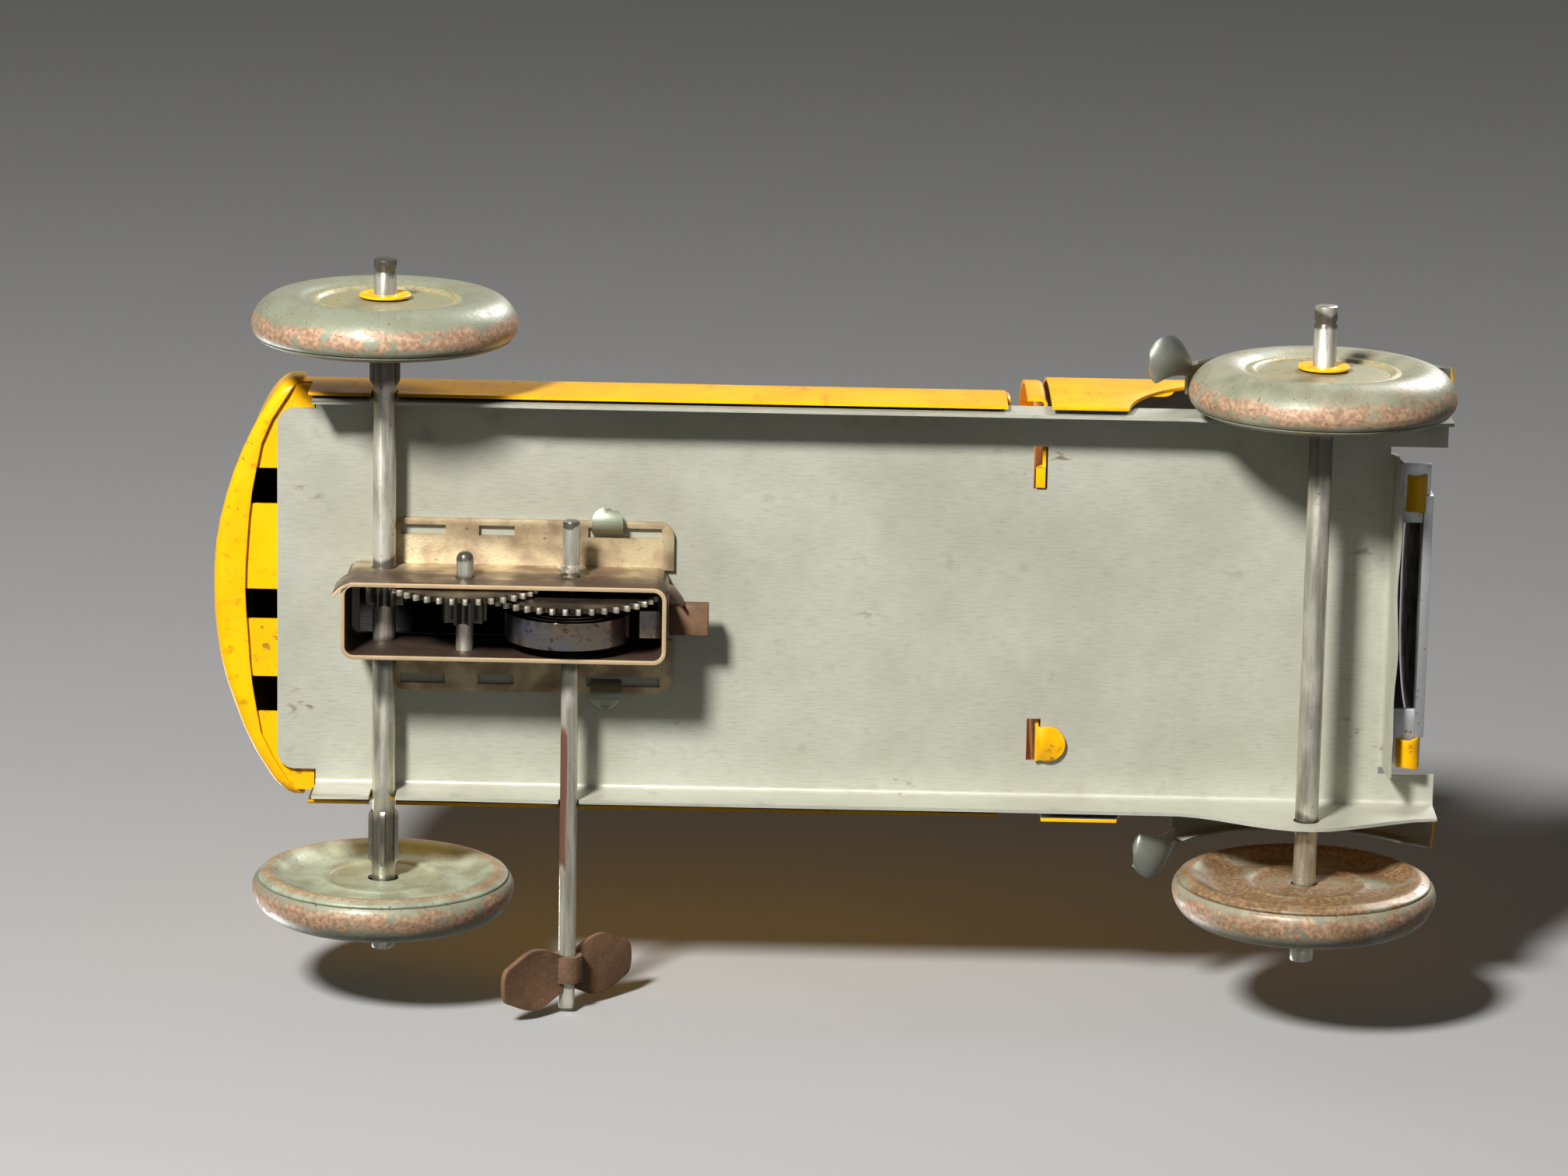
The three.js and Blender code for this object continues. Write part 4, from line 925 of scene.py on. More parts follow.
def filler_cap(index):
    """A screw filler: a short neck, a rolled lid with finger grips and a small domed top."""
    x, r = FILLER_X[index], FILLER_RADIUS
    crown = TANK_HEIGHT
    profile = [
        (0, -0.6), (r - 2, -0.6), (r - 2, 1.5), (r - 0.5, 1.5), (r - 0.1, 1.8), (r - 0.1, 3.0),
        (r - 0.5, 3.6), (r - 1.4, 4.2), (r - 2.2, 4.2), (r - 2.8, 4.6), (r - 4.2, 5.1), (0, 5.4),
    ]
    steps = 96
    rows = []
    for radius, z in profile:
        row = []
        for k in range(steps):
            a = 2 * math.pi * k / steps
            grip = 0.16 * math.cos(a * 24) if 1.7 < z < 3.2 and radius > r - 1 else 0
            row.append((x + (radius + grip) * math.cos(a), (radius + grip) * math.sin(a), crown + z))
        rows.append(row)
    lid = outward(grid(rows, wrap=True))
    for vertex in lid.verts:
        if vertex.co.z < crown:
            vertex.co.z = (TANK_HEIGHT + 0.1) * math.sqrt(1 - (vertex.co.y / TANK_HALF_WIDTH) ** 2) + 0.25
    return piece(f"filler_cap_{index + 1}", lid, [YELLOW], "chassis", bevel=0, angle=40)


# ---------------------------------------------------------------- cab and bonnet

def cab_back():
    """Back panel with a raw folded rim, a small window and the two tabs locked under the plate."""
    middle = SHEET / 2
    foot = SHEET + GAP + middle
    outline = arch(CAB_HALF_WIDTH - 0.5 - middle, CAB_HEIGHT - 0.5 - middle, foot, 2.9)
    rim_x = CAB_BACK_X + 3.5 - middle
    skin = pressed(
        outline, (0.0, foot), lambda y, z: rim_x, lambda y, z: 3.5 - middle, 0.9, False, forward=-1,
    )
    head = [*arc(-11.2, 41, 1.6, 180, 90, 4), *arc(11.2, 41, 1.6, 90, 0, 4)]
    window = prism([(-12.4, 30.8), *head, (12.4, 30.8)], CAB_BACK_X - 2, CAB_REAR + 4, "x")
    x0 = rim_x - middle
    width, y = 3.1, (SLOT_Y[0] + SLOT_Y[1]) / 2 + 0.6
    round_head = arc(x0 + 2.2, y, width, -112, 112, 14)
    round_tab = [(x0, y - width), (x0 + 0.8, y - width), *round_head, (x0, y + width)]
    tabs = [
        block(x0 - 1.1, x0 + 0.5, -SLOT_Y[1] + 3.8, -SLOT_Y[0] - 0.3, -0.55, 3),
        prism(round_tab, -1.0, -0.4, "z"),
        block(x0, x0 + SHEET, y - width + 0.3, y + width - 0.3, -0.7, 4),
    ]
    return piece(
        "cab_back", skin, [YELLOW], "chassis",
        add=tabs, cut=[window], sheet=SHEET, bevel=0.1,
    )


def windscreen_x(z):
    """Front of the cab at a height: upright to the scuttle, raked above, rolling back to the roof."""
    sill = BONNET_HEIGHT - 1
    if z <= sill:
        return CAB_FRONT
    share = (z - sill) / (CAB_HEIGHT - sill)
    return CAB_FRONT - 3.4 * share - 9.0 * share ** 6


def cab_shell():
    middle = SHEET / 2
    outline = arch(CAB_HALF_WIDTH - middle, CAB_HEIGHT - middle, -SKIRT_DEPTH, 2.9, steps=56)
    skin = pressed(
        outline, (0.0, -SKIRT_DEPTH), lambda y, z: windscreen_x(z) - middle,
        lambda y, z: windscreen_x(z) - CAB_REAR - middle, 2.6, False, forward=-1, rings=22,
    )
    sides = []
    for side in (-1, 1):
        pane = [
            *arc(CAB_REAR + 7.6, 28.8, 1.8, 180, 270, 4), *arc(CAB_FRONT - 9.4, 28.8, 1.8, -90, -4, 4),
            *arc(CAB_FRONT - 11.4, 39.4, 1.8, 6, 90, 4), *arc(CAB_REAR + 7.6, 39.4, 1.8, 90, 180, 4),
        ]
        sides.append(prism(pane, min(side * 20, side * 60), max(side * 20, side * 60), "y"))
    screens = []
    for side in (-1, 1):
        low, high = sorted((side * 1.7, side * 22.0))
        pane = [
            *arc(low + 1.5, 37.2, 1.5, 180, 270, 4), *arc(high - 1.5, 37.2, 1.5, 270, 360, 4),
            *arc(high - 1.5 - 0.8 * (side > 0), 44.6, 1.5, 0, 90, 4),
            *arc(low + 1.5 + 0.8 * (side < 0), 44.6, 1.5, 90, 180, 4),
        ]
        screens.append(prism(pane, CAB_FRONT - 9, CAB_FRONT + 5, "x"))
    floor_y = PLATE_HALF_WIDTH + GAP
    cuts = [
        bar(WHEELBASE, FRONT_AXLE_Z, ARCH_RADIUS, -60, 60, 120, 0),
        block(CAB_REAR - 1, FLANGE_FRONT, -floor_y, floor_y, -60, SHEET + GAP), *sides, *screens,
    ]
    return piece(
        "cab_shell", skin, [YELLOW, TIN_INSIDE], "chassis",
        cut=cuts, sheet=SHEET, bevel=0.1,
    )


def bonnet_scale(x):
    share = (x - CAB_FRONT) / (BONNET_FRONT - CAB_FRONT)
    return 1 - (1 - BONNET_TAPER) * share, 1 - (1 - BONNET_FALL) * share


def bonnet():
    """Tapered bonnet with a raised centre hinge line and a row of pressed louvres on each side."""
    middle = SHEET / 2
    section = arch(BONNET_HALF_WIDTH - middle, BONNET_HEIGHT - middle, SHEET + GAP, 2.8, steps=64)
    stations = [CAB_FRONT + GAP + (BONNET_FRONT - CAB_FRONT - GAP) * k / 64 for k in range(65)]
    rows = []
    for y, z in section:
        row = []
        for x in stations:
            wide, tall = bonnet_scale(x)
            u, v = y * wide, z * tall
            louvre = 0
            if 9 < v < 22 and abs(u) > 12 and 152.5 < x < 175.5:
                wave = ((x - 152.5) % 3.83) / 3.83
                ends = min((v - 9) / 1.6, (22 - v) / 1.6, 1)
                louvre = 0.5 * max(0, 1 - abs(wave - 0.62) / 0.34) * ends
            ridge = 0.3 * math.exp(-(u / 0.9) ** 2) if v > 20 else 0
            row.append((x, u + math.copysign(louvre, u), v + ridge - 0.3))
        rows.append(row)
    return piece(
        "bonnet", grid(rows), [YELLOW, TIN_INSIDE], "chassis",
        sheet=SHEET * 0.9, bevel=0.1,
    )


def radiator_grille():
    """Silvered radiator front: a rounded shell, upright bars over a recess painted dark as shade, and two
    lock tabs.
    """
    x0 = BONNET_FRONT + GAP
    x1 = x0 + 1.6
    half_width = BONNET_HALF_WIDTH * BONNET_TAPER
    height = BONNET_HEIGHT * BONNET_FALL
    face = prism(arch(half_width, height, -4, 2.8, 40), x0, x1, "x")
    inner = arch(half_width - 3, height - 3.4, 1.4, 2.8, 40)
    recess = prism(inner, x0 + SHEET, x1 + 1, "x")
    bars = []
    for k in range(-5, 6):
        y = k * 3.0
        top = (height - 3.2) * (1 - (abs(y) / (half_width - 2.6)) ** 2.8) ** (1 / 2.8)
        bars.append(block(x0 + 0.2, x1 - 0.25, y - 0.55, y + 0.55, 1.0, top))
    tabs = []
    for side in (-1, 1):
        low, high = sorted((side * (half_width - 5), side * (half_width + 5.5)))
        tabs.append(block(PLATE_FRONT + GAP, x1 - 0.5, low, high, -3.4, -2.6))
    return piece(
        "radiator_grille", face, [SILVER_GRILLE], "chassis",
        add=[*bars, *tabs], cut=[recess], bevel=0.16,
    )


def wing(name, side):
    """Front wing: a crowned strip, its edge turned down, a valance inboard, a hooked tongue behind."""
    def section(a):
        taper = min(max((a - 30) / 12, 0), 1)
        return [
            (WING_INNER_Y + 0.3, 0.3), (38, 0.34), (39.6, 0.32), (41, 0.22), (WING_OUTER_Y - 1.6, 0.0),
            (WING_OUTER_Y - 0.8, -0.5 * taper), (WING_OUTER_Y - 0.35, -1.9 * taper),
        ]
    rows = []
    for k in range(59):
        angle = 30 + 116 * k / 58
        a = math.radians(angle)
        rows.append([
            (WHEELBASE + (WING_RADIUS + 0.25 + lift) * math.cos(a), side * y,
             FRONT_AXLE_Z + (WING_RADIUS + 0.25 + lift) * math.sin(a)) for y, lift in section(angle)
        ])
    strip = grid(rows)
    start = math.radians(145)
    x0 = WHEELBASE + (WING_RADIUS + 0.2) * math.cos(start)
    z0 = FRONT_AXLE_Z + (WING_RADIUS + 0.2) * math.sin(start)
    tongue = []
    for k in range(15):
        t = k / 14
        x = x0 - 7.4 * t
        z = z0 - 6.0 * (1 - (1 - t) ** 2.4)
        near = TONGUE_INNER_Y + 1.5 - 1.3 * t + 1.4 * math.sin(math.pi * t)
        far = WING_OUTER_Y + (TONGUE_OUTER_Y - WING_OUTER_Y) * math.sin(math.pi / 2 * min(t / 0.55, 1))
        far -= 2.4 * (max(t - 0.6, 0) / 0.4) ** 2
        if t > 0.8:
            near += 3.4 * ((t - 0.8) / 0.2) ** 2
        tongue.append([
            (x, side * (near + (far - near) * s), z - 0.9 * (1 - (2 * s - 1) ** 2))
            for s in (0, 0.2, 0.4, 0.6, 0.8, 1)
        ])
    valance = [
        point for point in arc(WHEELBASE, FRONT_AXLE_Z, WING_RADIUS + 0.3, 144, 30, 40) if point[1] > 1
    ]
    low, high = sorted((side * WING_INNER_Y, side * (WING_INNER_Y + SHEET)))
    web = prism([*valance, (FLANGE_FRONT - 1, 2), (WHEELBASE, 6)], low, high, "y")
    cab_y = CAB_HALF_WIDTH + GAP
    clear = block(CAB_REAR, CAB_FRONT + GAP, -cab_y, cab_y, -5, 60)

    def bare(centre, normal):
        inward = normal.x * (centre.x - WHEELBASE) + normal.z * (centre.z - FRONT_AXLE_Z) < -1
        return inward or (centre.x < x0 + 0.5 and normal.z < 0.2)
    return piece(
        name, strip, [YELLOW, TIN_BARE], "chassis",
        add=[thickened(grid(tongue), 0.5), web], cut=[clear], sheet=SHEET * 0.9, bevel=0.08, second=bare,
    )


def headlamp(name, side):
    """Bullet headlamp pressed in one piece with a rolled rim and a domed lens, on a stalk."""
    x, z = LAMP[0], LAMP[2]
    y = side * LAMP[1]
    bowl = ((0, -8), (1.6, -7.6), (3.2, -6.3), (4.6, -4.0), (5.3, -1.5), (5.5, 1.2), (5.5, 1.2))
    rim = ((5.5, 1.3), (5.9, 1.7), (5.95, 2.4), (5.5, 2.9), (4.9, 2.8), (4.9, 2.8))
    lens = ((4.7, 2.7), (3.4, 3.5), (1.8, 4.0), (0, 4.15))
    profile = [point for part in (bowl, rim, lens) for point in flowing(part, 4)]
    angles = [2 * math.pi * k / 64 for k in range(64)]
    rows = [[(x + h, y + r * math.cos(a), z + r * math.sin(a)) for a in angles] for r, h in profile]
    lamp = outward(grid(rows, wrap=True))
    reach = WING_RADIUS + SHEET + GAP
    top = FRONT_AXLE_Z + math.sqrt(reach ** 2 - (x - WHEELBASE + 1.6) ** 2) + 1.2
    low, high = sorted((y, side * (WING_INNER_Y + 2.1)))
    bracket = block(x - 1.6, x + 1.6, low, high, top, top + 1)
    stalk = prism([*arc(x, y, 1.2, 0, 360, 24)[:-1]], top, z - 3, "z")
    return piece(name, lamp, [SILVER], "chassis", add=[bracket, stalk], bevel=0.12)


def nose_tabs():
    """Two crumpled tongues of the bonnet bent under the plate's front fold."""
    for name, y0, y1, x0, x1 in (
        ("nose_tab_right", -25.4, -18.4, 176.4, 180.2), ("nose_tab_left", 21.6, 27.4, 176.2, 180.6),
    ):
        rows = []
        for k in range(9):
            t = k / 8
            crumple = 0.7 * noise.noise(Vector((t * 2.4, y0, 1)))
            pinch = 0.8 * math.sin(math.pi * t)
            sag = -2.2 - 2.6 * math.sin(math.pi * t * 0.8)
            rows.append([
                (x0 + (x1 - x0) * t, y0 + (y1 - y0) * s + pinch * (0.5 - s), sag + crumple * (s - 0.3))
                for s in (0, 0.25, 0.5, 0.75, 1)
            ])
        draft = held("tab", thickened(grid(rows), 0.45))
        draft.data.materials.append(YELLOW_CAP)
        rounded(draft, 0.1, 30)
        attach(name, settled(draft, (), TRUCK, 40), "chassis", [])


# ---------------------------------------------------------------- motor

def foot_outline(y0, y1):
    """Foot of the motor strap, its two free corners rounded."""
    x0, x1 = FOOT_X
    if y0 < 0:
        rear, front = arc(x0 + 2, y0 + 2, 2, 180, 270, 6), arc(x1 - 2.6, y0 + 2.6, 2.6, 270, 360, 6)
        return [(x0, y1), *rear, *front, (x1, y1)]
    rear, front = arc(x0 + 2, y1 - 2, 2, 90, 180, 6), arc(x1 - 2.6, y1 - 2.6, 2.6, 0, 90, 6)
    return [(x0, y0), (x1, y0), *front, *rear]


def motor_frame():
    """The motor's strap: a band on edge, two slotted feet and a torn, curled corner."""
    middle = FRAME_SHEET / 2
    (x0, x1), (y0, y1) = FRAME_X, FRAME_Y
    x0, x1, y0, y1 = x0 + middle, x1 - middle, y0 + middle, y1 - middle
    r = 1.9
    loop = [*arc(x1 - r, y0 + r, r, -90, 0, 7), *arc(x1 - r, y1 - r, r, 0, 90, 7),
            *arc(x0 + r, y1 - r, r, 90, 180, 7), *arc(x0 + r, y0 + r, r, 180, 270, 7)]
    levels = [-FRAME_DEPTH + 17.0 * k / 8 for k in range(9)]

    def wavy(x, y, z):
        return (x, y, z + 0.25 * noise.noise(Vector((x * 0.12, y * 0.3, 4))) * (z < -16))
    band = grid([[wavy(x, y, z) for x, y in loop] for z in levels], wrap=True)
    feet = []
    for low, high, slot_y in ((FOOT_Y[0], FRAME_Y[0] + 0.5, -11.4), (FRAME_Y[1] - 0.5, FOOT_Y[1], 15.2)):
        foot = held("foot", prism(foot_outline(low, high), -1.0, -GAP, "z"))
        slots = [
            block(start, end, slot_y - 0.9, slot_y + 0.9, -4, 4)
            for start, end in ((2.6, 10.4), (16.2, 22.4), (35.2, 48.0))
        ]
        feet.append(shaped(foot, worked(foot, (), slots), 30))
    curl = []
    for k in range(9):
        t = k / 8
        x, y = FRAME_X[0] + 1.6 - 2.9 * t, FRAME_Y[0] + 0.5 + 1.9 * t * t
        curl.append([(x, y, z - 0.9 * t * (z < -10)) for z in (-FRAME_DEPTH + 0.1, -14, -11, -8.5)])
    corner = []
    for k in range(7):
        t = k / 6
        x, y = FRAME_X[1] - 0.6 + 3.2 * t, FRAME_Y[0] + 1.6 + 2.8 * t * t
        corner.append([(x, y, z + 1.6 * t * (z < -9) - 0.5 * t) for z in (-12.5, -9.5, -6.5)])
    shafts = (
        (0, REAR_AXLE_Z, AXLE_RADIUS), (SECOND_X, SECOND_Z, ARBOR_RADIUS),
        (ARBOR_X, ARBOR_Z, ARBOR_RADIUS),
    )
    return piece(
        "motor_frame", band, [BRASS_MOTOR], "chassis", sheet=FRAME_SHEET, bevel=0.1,
        add=[*feet, thickened(grid(curl), 0.5), thickened(grid(corner), 0.5)],
        cut=[bar(x, z, radius + 0.15, -20, 20, 32, 0) for x, z, radius in shafts],
    )


def mainspring():
    """Flat spring wound round the arbor, its outer turn smooth and its tail against the end wall."""
    turns, steps, inner, outer, ribbon = 4, 288, 3.2, 11.9, 0.45
    skin = []
    for k in range(steps + 1):
        a = -turns * 2 * math.pi * k / steps
        radius = inner + (outer - inner) * (k / steps) ** 0.85 + ribbon / 2
        x, z = ARBOR_X + radius * math.cos(a), ARBOR_Z + radius * math.sin(a)
        low, high = SPRING_Y
        skin.append([(x, y, z) for y in (low, low + 0.25, (low + high) / 2, high - 0.25, high)])
    end = FRAME_X[1] - FRAME_SHEET - GAP
    skin.append([(end, y, z) for _, y, z in skin[-1]])
    return piece(
        "mainspring", grid(skin), [SPRING], "chassis", sheet=ribbon, bevel=0.08, angle=60,
    )


def winding_arbor():
    """Arbor with a collar, a squared bright end outside the key and slight hammer flats beside it."""
    y0, y1 = ARBOR_ENDS
    r = ARBOR_RADIUS
    shaft = bar(ARBOR_X, ARBOR_Z, r, y0, y1 - 4.2, 48, 0.35)
    square = []
    for y, half, corner in (
        (y1 - 4.6, r * 0.9, 0.5), (y1 - 1.2, r * 0.92, 0.4),
        (y1 - 0.3, r * 0.86, 0.4), (y1, r * 0.6, 0.3),
    ):
        row = []
        for quarter in range(4):
            base = math.radians(45 + 90 * quarter)
            cx = ARBOR_X + math.sqrt(2) * (half - corner) * math.cos(base)
            cz = ARBOR_Z + math.sqrt(2) * (half - corner) * math.sin(base)
            row += [
                (cx + corner * math.cos(base + s), y, cz + corner * math.sin(base + s))
                for s in (-0.7, -0.25, 0.25, 0.7)
            ]
        square.append(row)
    head = grid(square, wrap=True)
    for y in (square[0][0][1], square[-1][0][1]):
        head.faces.new([v for v in head.verts if abs(v.co.y - y) < 1e-3])
    collar_end = FRAME_Y[0] - 0.95
    collar = ring([
        (1.2, collar_end - 1.0), (2.0, collar_end - 1.0), (2.5, collar_end - 0.6),
        (2.5, collar_end - 0.1), (2.3, collar_end), (1.2, collar_end),
    ], ARBOR_X, ARBOR_Z)
    core = bar(ARBOR_X, ARBOR_Z, 2.6, SPRING_Y[0] - GAP, SPRING_Y[1] + GAP)
    # Painted shadow of the frame's left wall just outside it, and a stained spot at the arbor's right
    # end.
    arbor_shade_and_stains = ((9, 3.2), (-15, 0.6))
    paint = drawn_steel("arbor steel", 2.0, rust_from=(22.0, 47.0, ARBOR_X), dark=arbor_shade_and_stains)
    return piece(
        "winding_arbor", shaft, [paint], "key_set",
        add=[outward(head), collar, core], bevel=0,
    )


def winding_key():
    """Two rounded, slightly dished leaves of one strip, wrapped by a strap round the arbor."""
    middle = (KEY_Y[0] + KEY_Y[1]) / 2
    half = (KEY_Y[1] - KEY_Y[0]) / 2
    leaves = []
    for side in (-1, 1):
        lower = [
            (1.4, 3.2), (1.4, 3.2), (3.4, half - 1.2), (6.0, half - 0.15), (KEY_SHOULDER, half),
            (12.6, half - 1.5), (KEY_HALF_SPAN - 0.5, 2.6),
        ]
        upper = [(u, middle + v) for u, v in reversed(lower)]
        lower = [(u, middle - v) for u, v in lower]
        edge = flowing([*lower, (KEY_HALF_SPAN, middle), *upper], 5)
        rows = []
        for share in (0.0, 0.3, 0.55, 0.75, 0.9, 1.0):
            dish = 0.35 * share ** 2 * side
            rows.append([
                (side * (LEAF_MIDDLE + (u - LEAF_MIDDLE) * share), middle + (v - middle) * share, dish)
                for u, v in edge
            ])
        skin = grid(rows, wrap=True)
        leaves.append(thickened(skin, KEY_SHEET * 0.82))
    outer, bore = ARBOR_RADIUS + GAP + 0.85, ARBOR_RADIUS + 0.2
    low, high = middle - 3.1, middle + 1.6
    strap = ring([(bore, low), (outer, low), (outer, high), (bore, high)], 0, 0)
    draft = held("draft", leaves[0])
    tools = worked(draft, [leaves[1], strap], [bar(0, 0, bore, 0, 200, 32, 0)])
    rounded(draft, 0.22, 50, segments=3)
    key = shaped(draft, tools, 40)
    key.transform(Matrix.Translation((ARBOR_X, 0, ARBOR_Z)) @ Matrix.Rotation(-KEY_LEAN, 4, "Y"))
    return piece("winding_key", key, [KEY_RUST], "key_set", bevel=0)


def second_shaft():
    y0, y1 = FRAME_Y[0] - 4.6, FRAME_Y[1] + 0.6
    r = ARBOR_RADIUS
    profile = flowing([(0, y0), (0.7, y0 + 0.12), (1.25, y0 + 0.6), (r, y0 + 1.3), (r, y0 + 1.3)], 4)
    profile += [(r, y1 - 0.2), (r - 0.2, y1), (0, y1)]
    # Darker at the shaft's right end, with painted shadow just inside the frame's right wall.
    paint = drawn_steel("second shaft steel", 5.0, dark=((FRAME_Y[0] - 4.4, 1.2), (-4, 2)))
    shaft = turned(profile, SECOND_X, SECOND_Z, 48)
    return piece("second_shaft", shaft, [paint], "second_shaft_set", bevel=0)


# ---------------------------------------------------------------- axles and wheels

def fin(x, z, angle, y0, y1):
    """One crimped fin along an axle, its two ends run out gently."""
    r = AXLE_RADIUS
    outline = [
        (0, y0), (r + 0.1, y0 + 0.4), (r + 0.62, y0 + 1.3), (r + 0.62, y1 - 1.3), (r + 0.1, y1 - 0.4),
        (0, y1),
    ]
    shape = prism(outline, -0.4, 0.4, "z")
    shape.transform(Matrix.Translation((x, 0, z)) @ Matrix.Rotation(angle, 4, "Y"))
    return shape


def axle(node, x, z, ends, fins, grooves, body, paint):
    """Drawn wire axle with crimped fins that hold the wheels, and pinch marks by its ends."""
    y0, y1 = ends
    r = AXLE_RADIUS
    profile = [(0, y0), (r - 0.35, y0), (r - 0.08, y0 + 0.12), (r, y0 + 0.4)]
    for y in sorted(grooves):
        profile += [(r, y - 0.45), (r - 0.22, y - 0.15), (r - 0.22, y + 0.15), (r, y + 0.45)]
    profile += [(r, y1 - 0.4), (r - 0.08, y1 - 0.12), (r - 0.35, y1), (0, y1)]
    ribs = [fin(x, z, math.pi / 2 * k, low, high) for low, high in fins for k in range(4)]
    rod = turned(profile, x, z, 48)
    return piece(node, rod, [paint], body, add=ribs, bevel=0.0, angle=40)


def wheel(name, body, washer_body):
    """A pressed wheel: the outer half with its hub, bead and tyre, the inner dish, and a washer."""
    x, z, y = WHEELS[name]
    side = 1 if y > 0 else -1
    w = WHEEL_HALF_WIDTH
    rear = name.startswith("rear")
    bore = 2.75 if rear else AXLE_RADIUS + GAP
    face = flowing([
        (bore, 3.25), (bore, 3.25), (5.0, 3.2), (9.5, 2.9), (11.3, 2.7), (11.3, 2.7), (11.75, 3.15),
        (12.3, 3.35), (12.9, 3.25), (13.5, 3.2), (15.0, 3.85), (17.2, w - 0.02), (19.4, 3.7),
        (21.2, 2.55), (22.4, 0.95), (22.95, -0.9), (22.75, -2.2), (22.25, -2.95), (22.25, -2.95),
    ], 5)
    inside = flowing([
        (21.75, -2.95), (21.75, -2.95), (22.2, -2.1), (22.35, -0.9), (21.9, 0.7), (20.8, 2.1),
        (19.1, 3.1), (17.2, 3.55), (15.2, 3.25), (13.6, 2.65), (11.9, 2.2), (9.5, 2.3), (5.0, 2.6),
        (bore, 2.65), (bore, 2.65),
    ], 4)
    outer = [*face, *inside]
    dish = flowing([
        (bore, -2.55), (bore, -2.55), (4.2, -2.6), (8.6, -2.55), (9.6, -2.85), (10.6, -2.95),
        (11.6, -2.6), (15.2, -2.35), (17.0, -2.9), (18.6, -3.8), (20.0, -w + 0.03), (21.0, -3.9),
        (21.85, -3.5), (21.95, -3.15), (21.95, -3.1),
    ], 5)
    lining = flowing([
        (20.9, -2.95), (20.9, -2.95), (20.0, -3.4), (18.7, -3.2), (17.0, -2.3), (15.2, -1.9),
        (11.0, -2.1), (bore, -2.0), (bore, -2.0),
    ], 4)
    inner = [*dish, *lining]
    looks = WHEEL_LOOKS[name]
    for half, profile in (("outer", outer), ("inner", inner)):
        paint = wheel_enamel(f"{name} wheel {half}", name, inner=half == "inner", **looks[half])
        shape = ring([(r, y + side * h) for r, h in profile], x, z, 144)
        piece(f"{name}_wheel_{half}", shape, [paint], body, bevel=0, angle=42)
    near = y + side * (w - 0.9 + GAP)
    far = near + side * 0.5
    hollow, rim = 2.05, 4.5
    profile = [
        (hollow, near), (rim - 0.12, near), (rim, near + side * 0.12), (rim, far - side * 0.12),
        (rim - 0.12, far), (hollow + 0.1, far), (hollow, far - side * 0.1),
    ]
    piece(f"{name}_washer", ring(profile, x, z, 64), [WASHER], washer_body, bevel=0)


WHEEL_LOOKS = {
    "rear_right": {
        "outer": {"face": srgb(144, 148, 126), "rusty": 0.15, "seed": 1.0},
        "inner": {"face": srgb(128, 132, 112), "rusty": 0.2, "seed": 1.5},
    },
    "rear_left": {
        "outer": {"face": srgb(146, 148, 126), "rusty": 0.25, "seed": 2.0},
        "inner": {"face": srgb(170, 180, 156), "rusty": 0.12, "seed": 2.5},
    },
    "front_right": {
        "outer": {"face": srgb(160, 158, 134), "rusty": 0.35, "seed": 3.0},
        "inner": {"face": srgb(138, 138, 118), "rusty": 0.4, "seed": 3.5},
    },
    "front_left": {
        "outer": {"face": srgb(156, 150, 128), "rusty": 0.6, "seed": 4.0},
        "inner": {"face": srgb(150, 144, 118), "rusty": 0.95, "seed": 4.5},
    },
}


# ---------------------------------------------------------------- the truck

base_plate()
tank_shell()
tank_rear_cap()
tank_front_cap()
for number in range(3):
    filler_cap(number)
cab_back()
cab_shell()
bonnet()
radiator_grille()
wing("right_wing", -1)
wing("left_wing", 1)
headlamp("right_headlamp", -1)
headlamp("left_headlamp", 1)
nose_tabs()
motor_frame()
mainspring()
softened("spring_anchor", STUB_RUST, "chassis", 0.25)
winding_arbor()
winding_key()
second_shaft()
softened("great_wheel", GREAT_METAL, "great_wheel_set")
softened("second_gear", SECOND_METAL, "second_shaft_set")
softened("second_pinion", STEEL_GEAR, "second_shaft_set")
softened("axle_pinion", STEEL_GEAR, "rear_axle_set")
softened("ratchet_wheel", STEEL_GEAR, "key_set", 0.06)
softened("click", STEEL_GEAR, "great_wheel_set", 0.06)
softened("click_spring", SPRING, "great_wheel_set", 0.05)
# Dark bands on the axles: painted shadow of the right rear wheel, the left flange, the frame walls and
# the front lobes, plus stains by the axle ends and grooves.
REAR_SHADE_AND_STAINS = ((-41, 5), (43, 6), (9.5, 3.5), (-59, 2.4), (-6, 2))
FRONT_SHADE_AND_STAINS = ((35, 2.5), (-30, 6), (-53.5, 1.6))
REAR_STEEL = drawn_steel("rear axle steel", 1.0, dark=REAR_SHADE_AND_STAINS)
FRONT_STEEL = drawn_steel("front axle steel", 6.0, dark=FRONT_SHADE_AND_STAINS)
axle(
    "rear_axle", 0, REAR_AXLE_Z, REAR_AXLE_ENDS, ((-44.2, -37.2), (37.8, 48.4)), (-57.6, 61.4),
    "rear_axle_set", REAR_STEEL,
)
axle(
    "front_axle", WHEELBASE, FRONT_AXLE_Z, FRONT_AXLE_ENDS, (), (-53.2, 57.4),
    "front_axle_set", FRONT_STEEL,
)
for wheel_name in WHEELS:
    if wheel_name.startswith("rear"):
        wheel(wheel_name, "rear_axle_set", "rear_axle_set")
    else:
        wheel(wheel_name, f"{wheel_name}_wheel", "front_axle_set")


# ---------------------------------------------------------------- floor, lights and camera

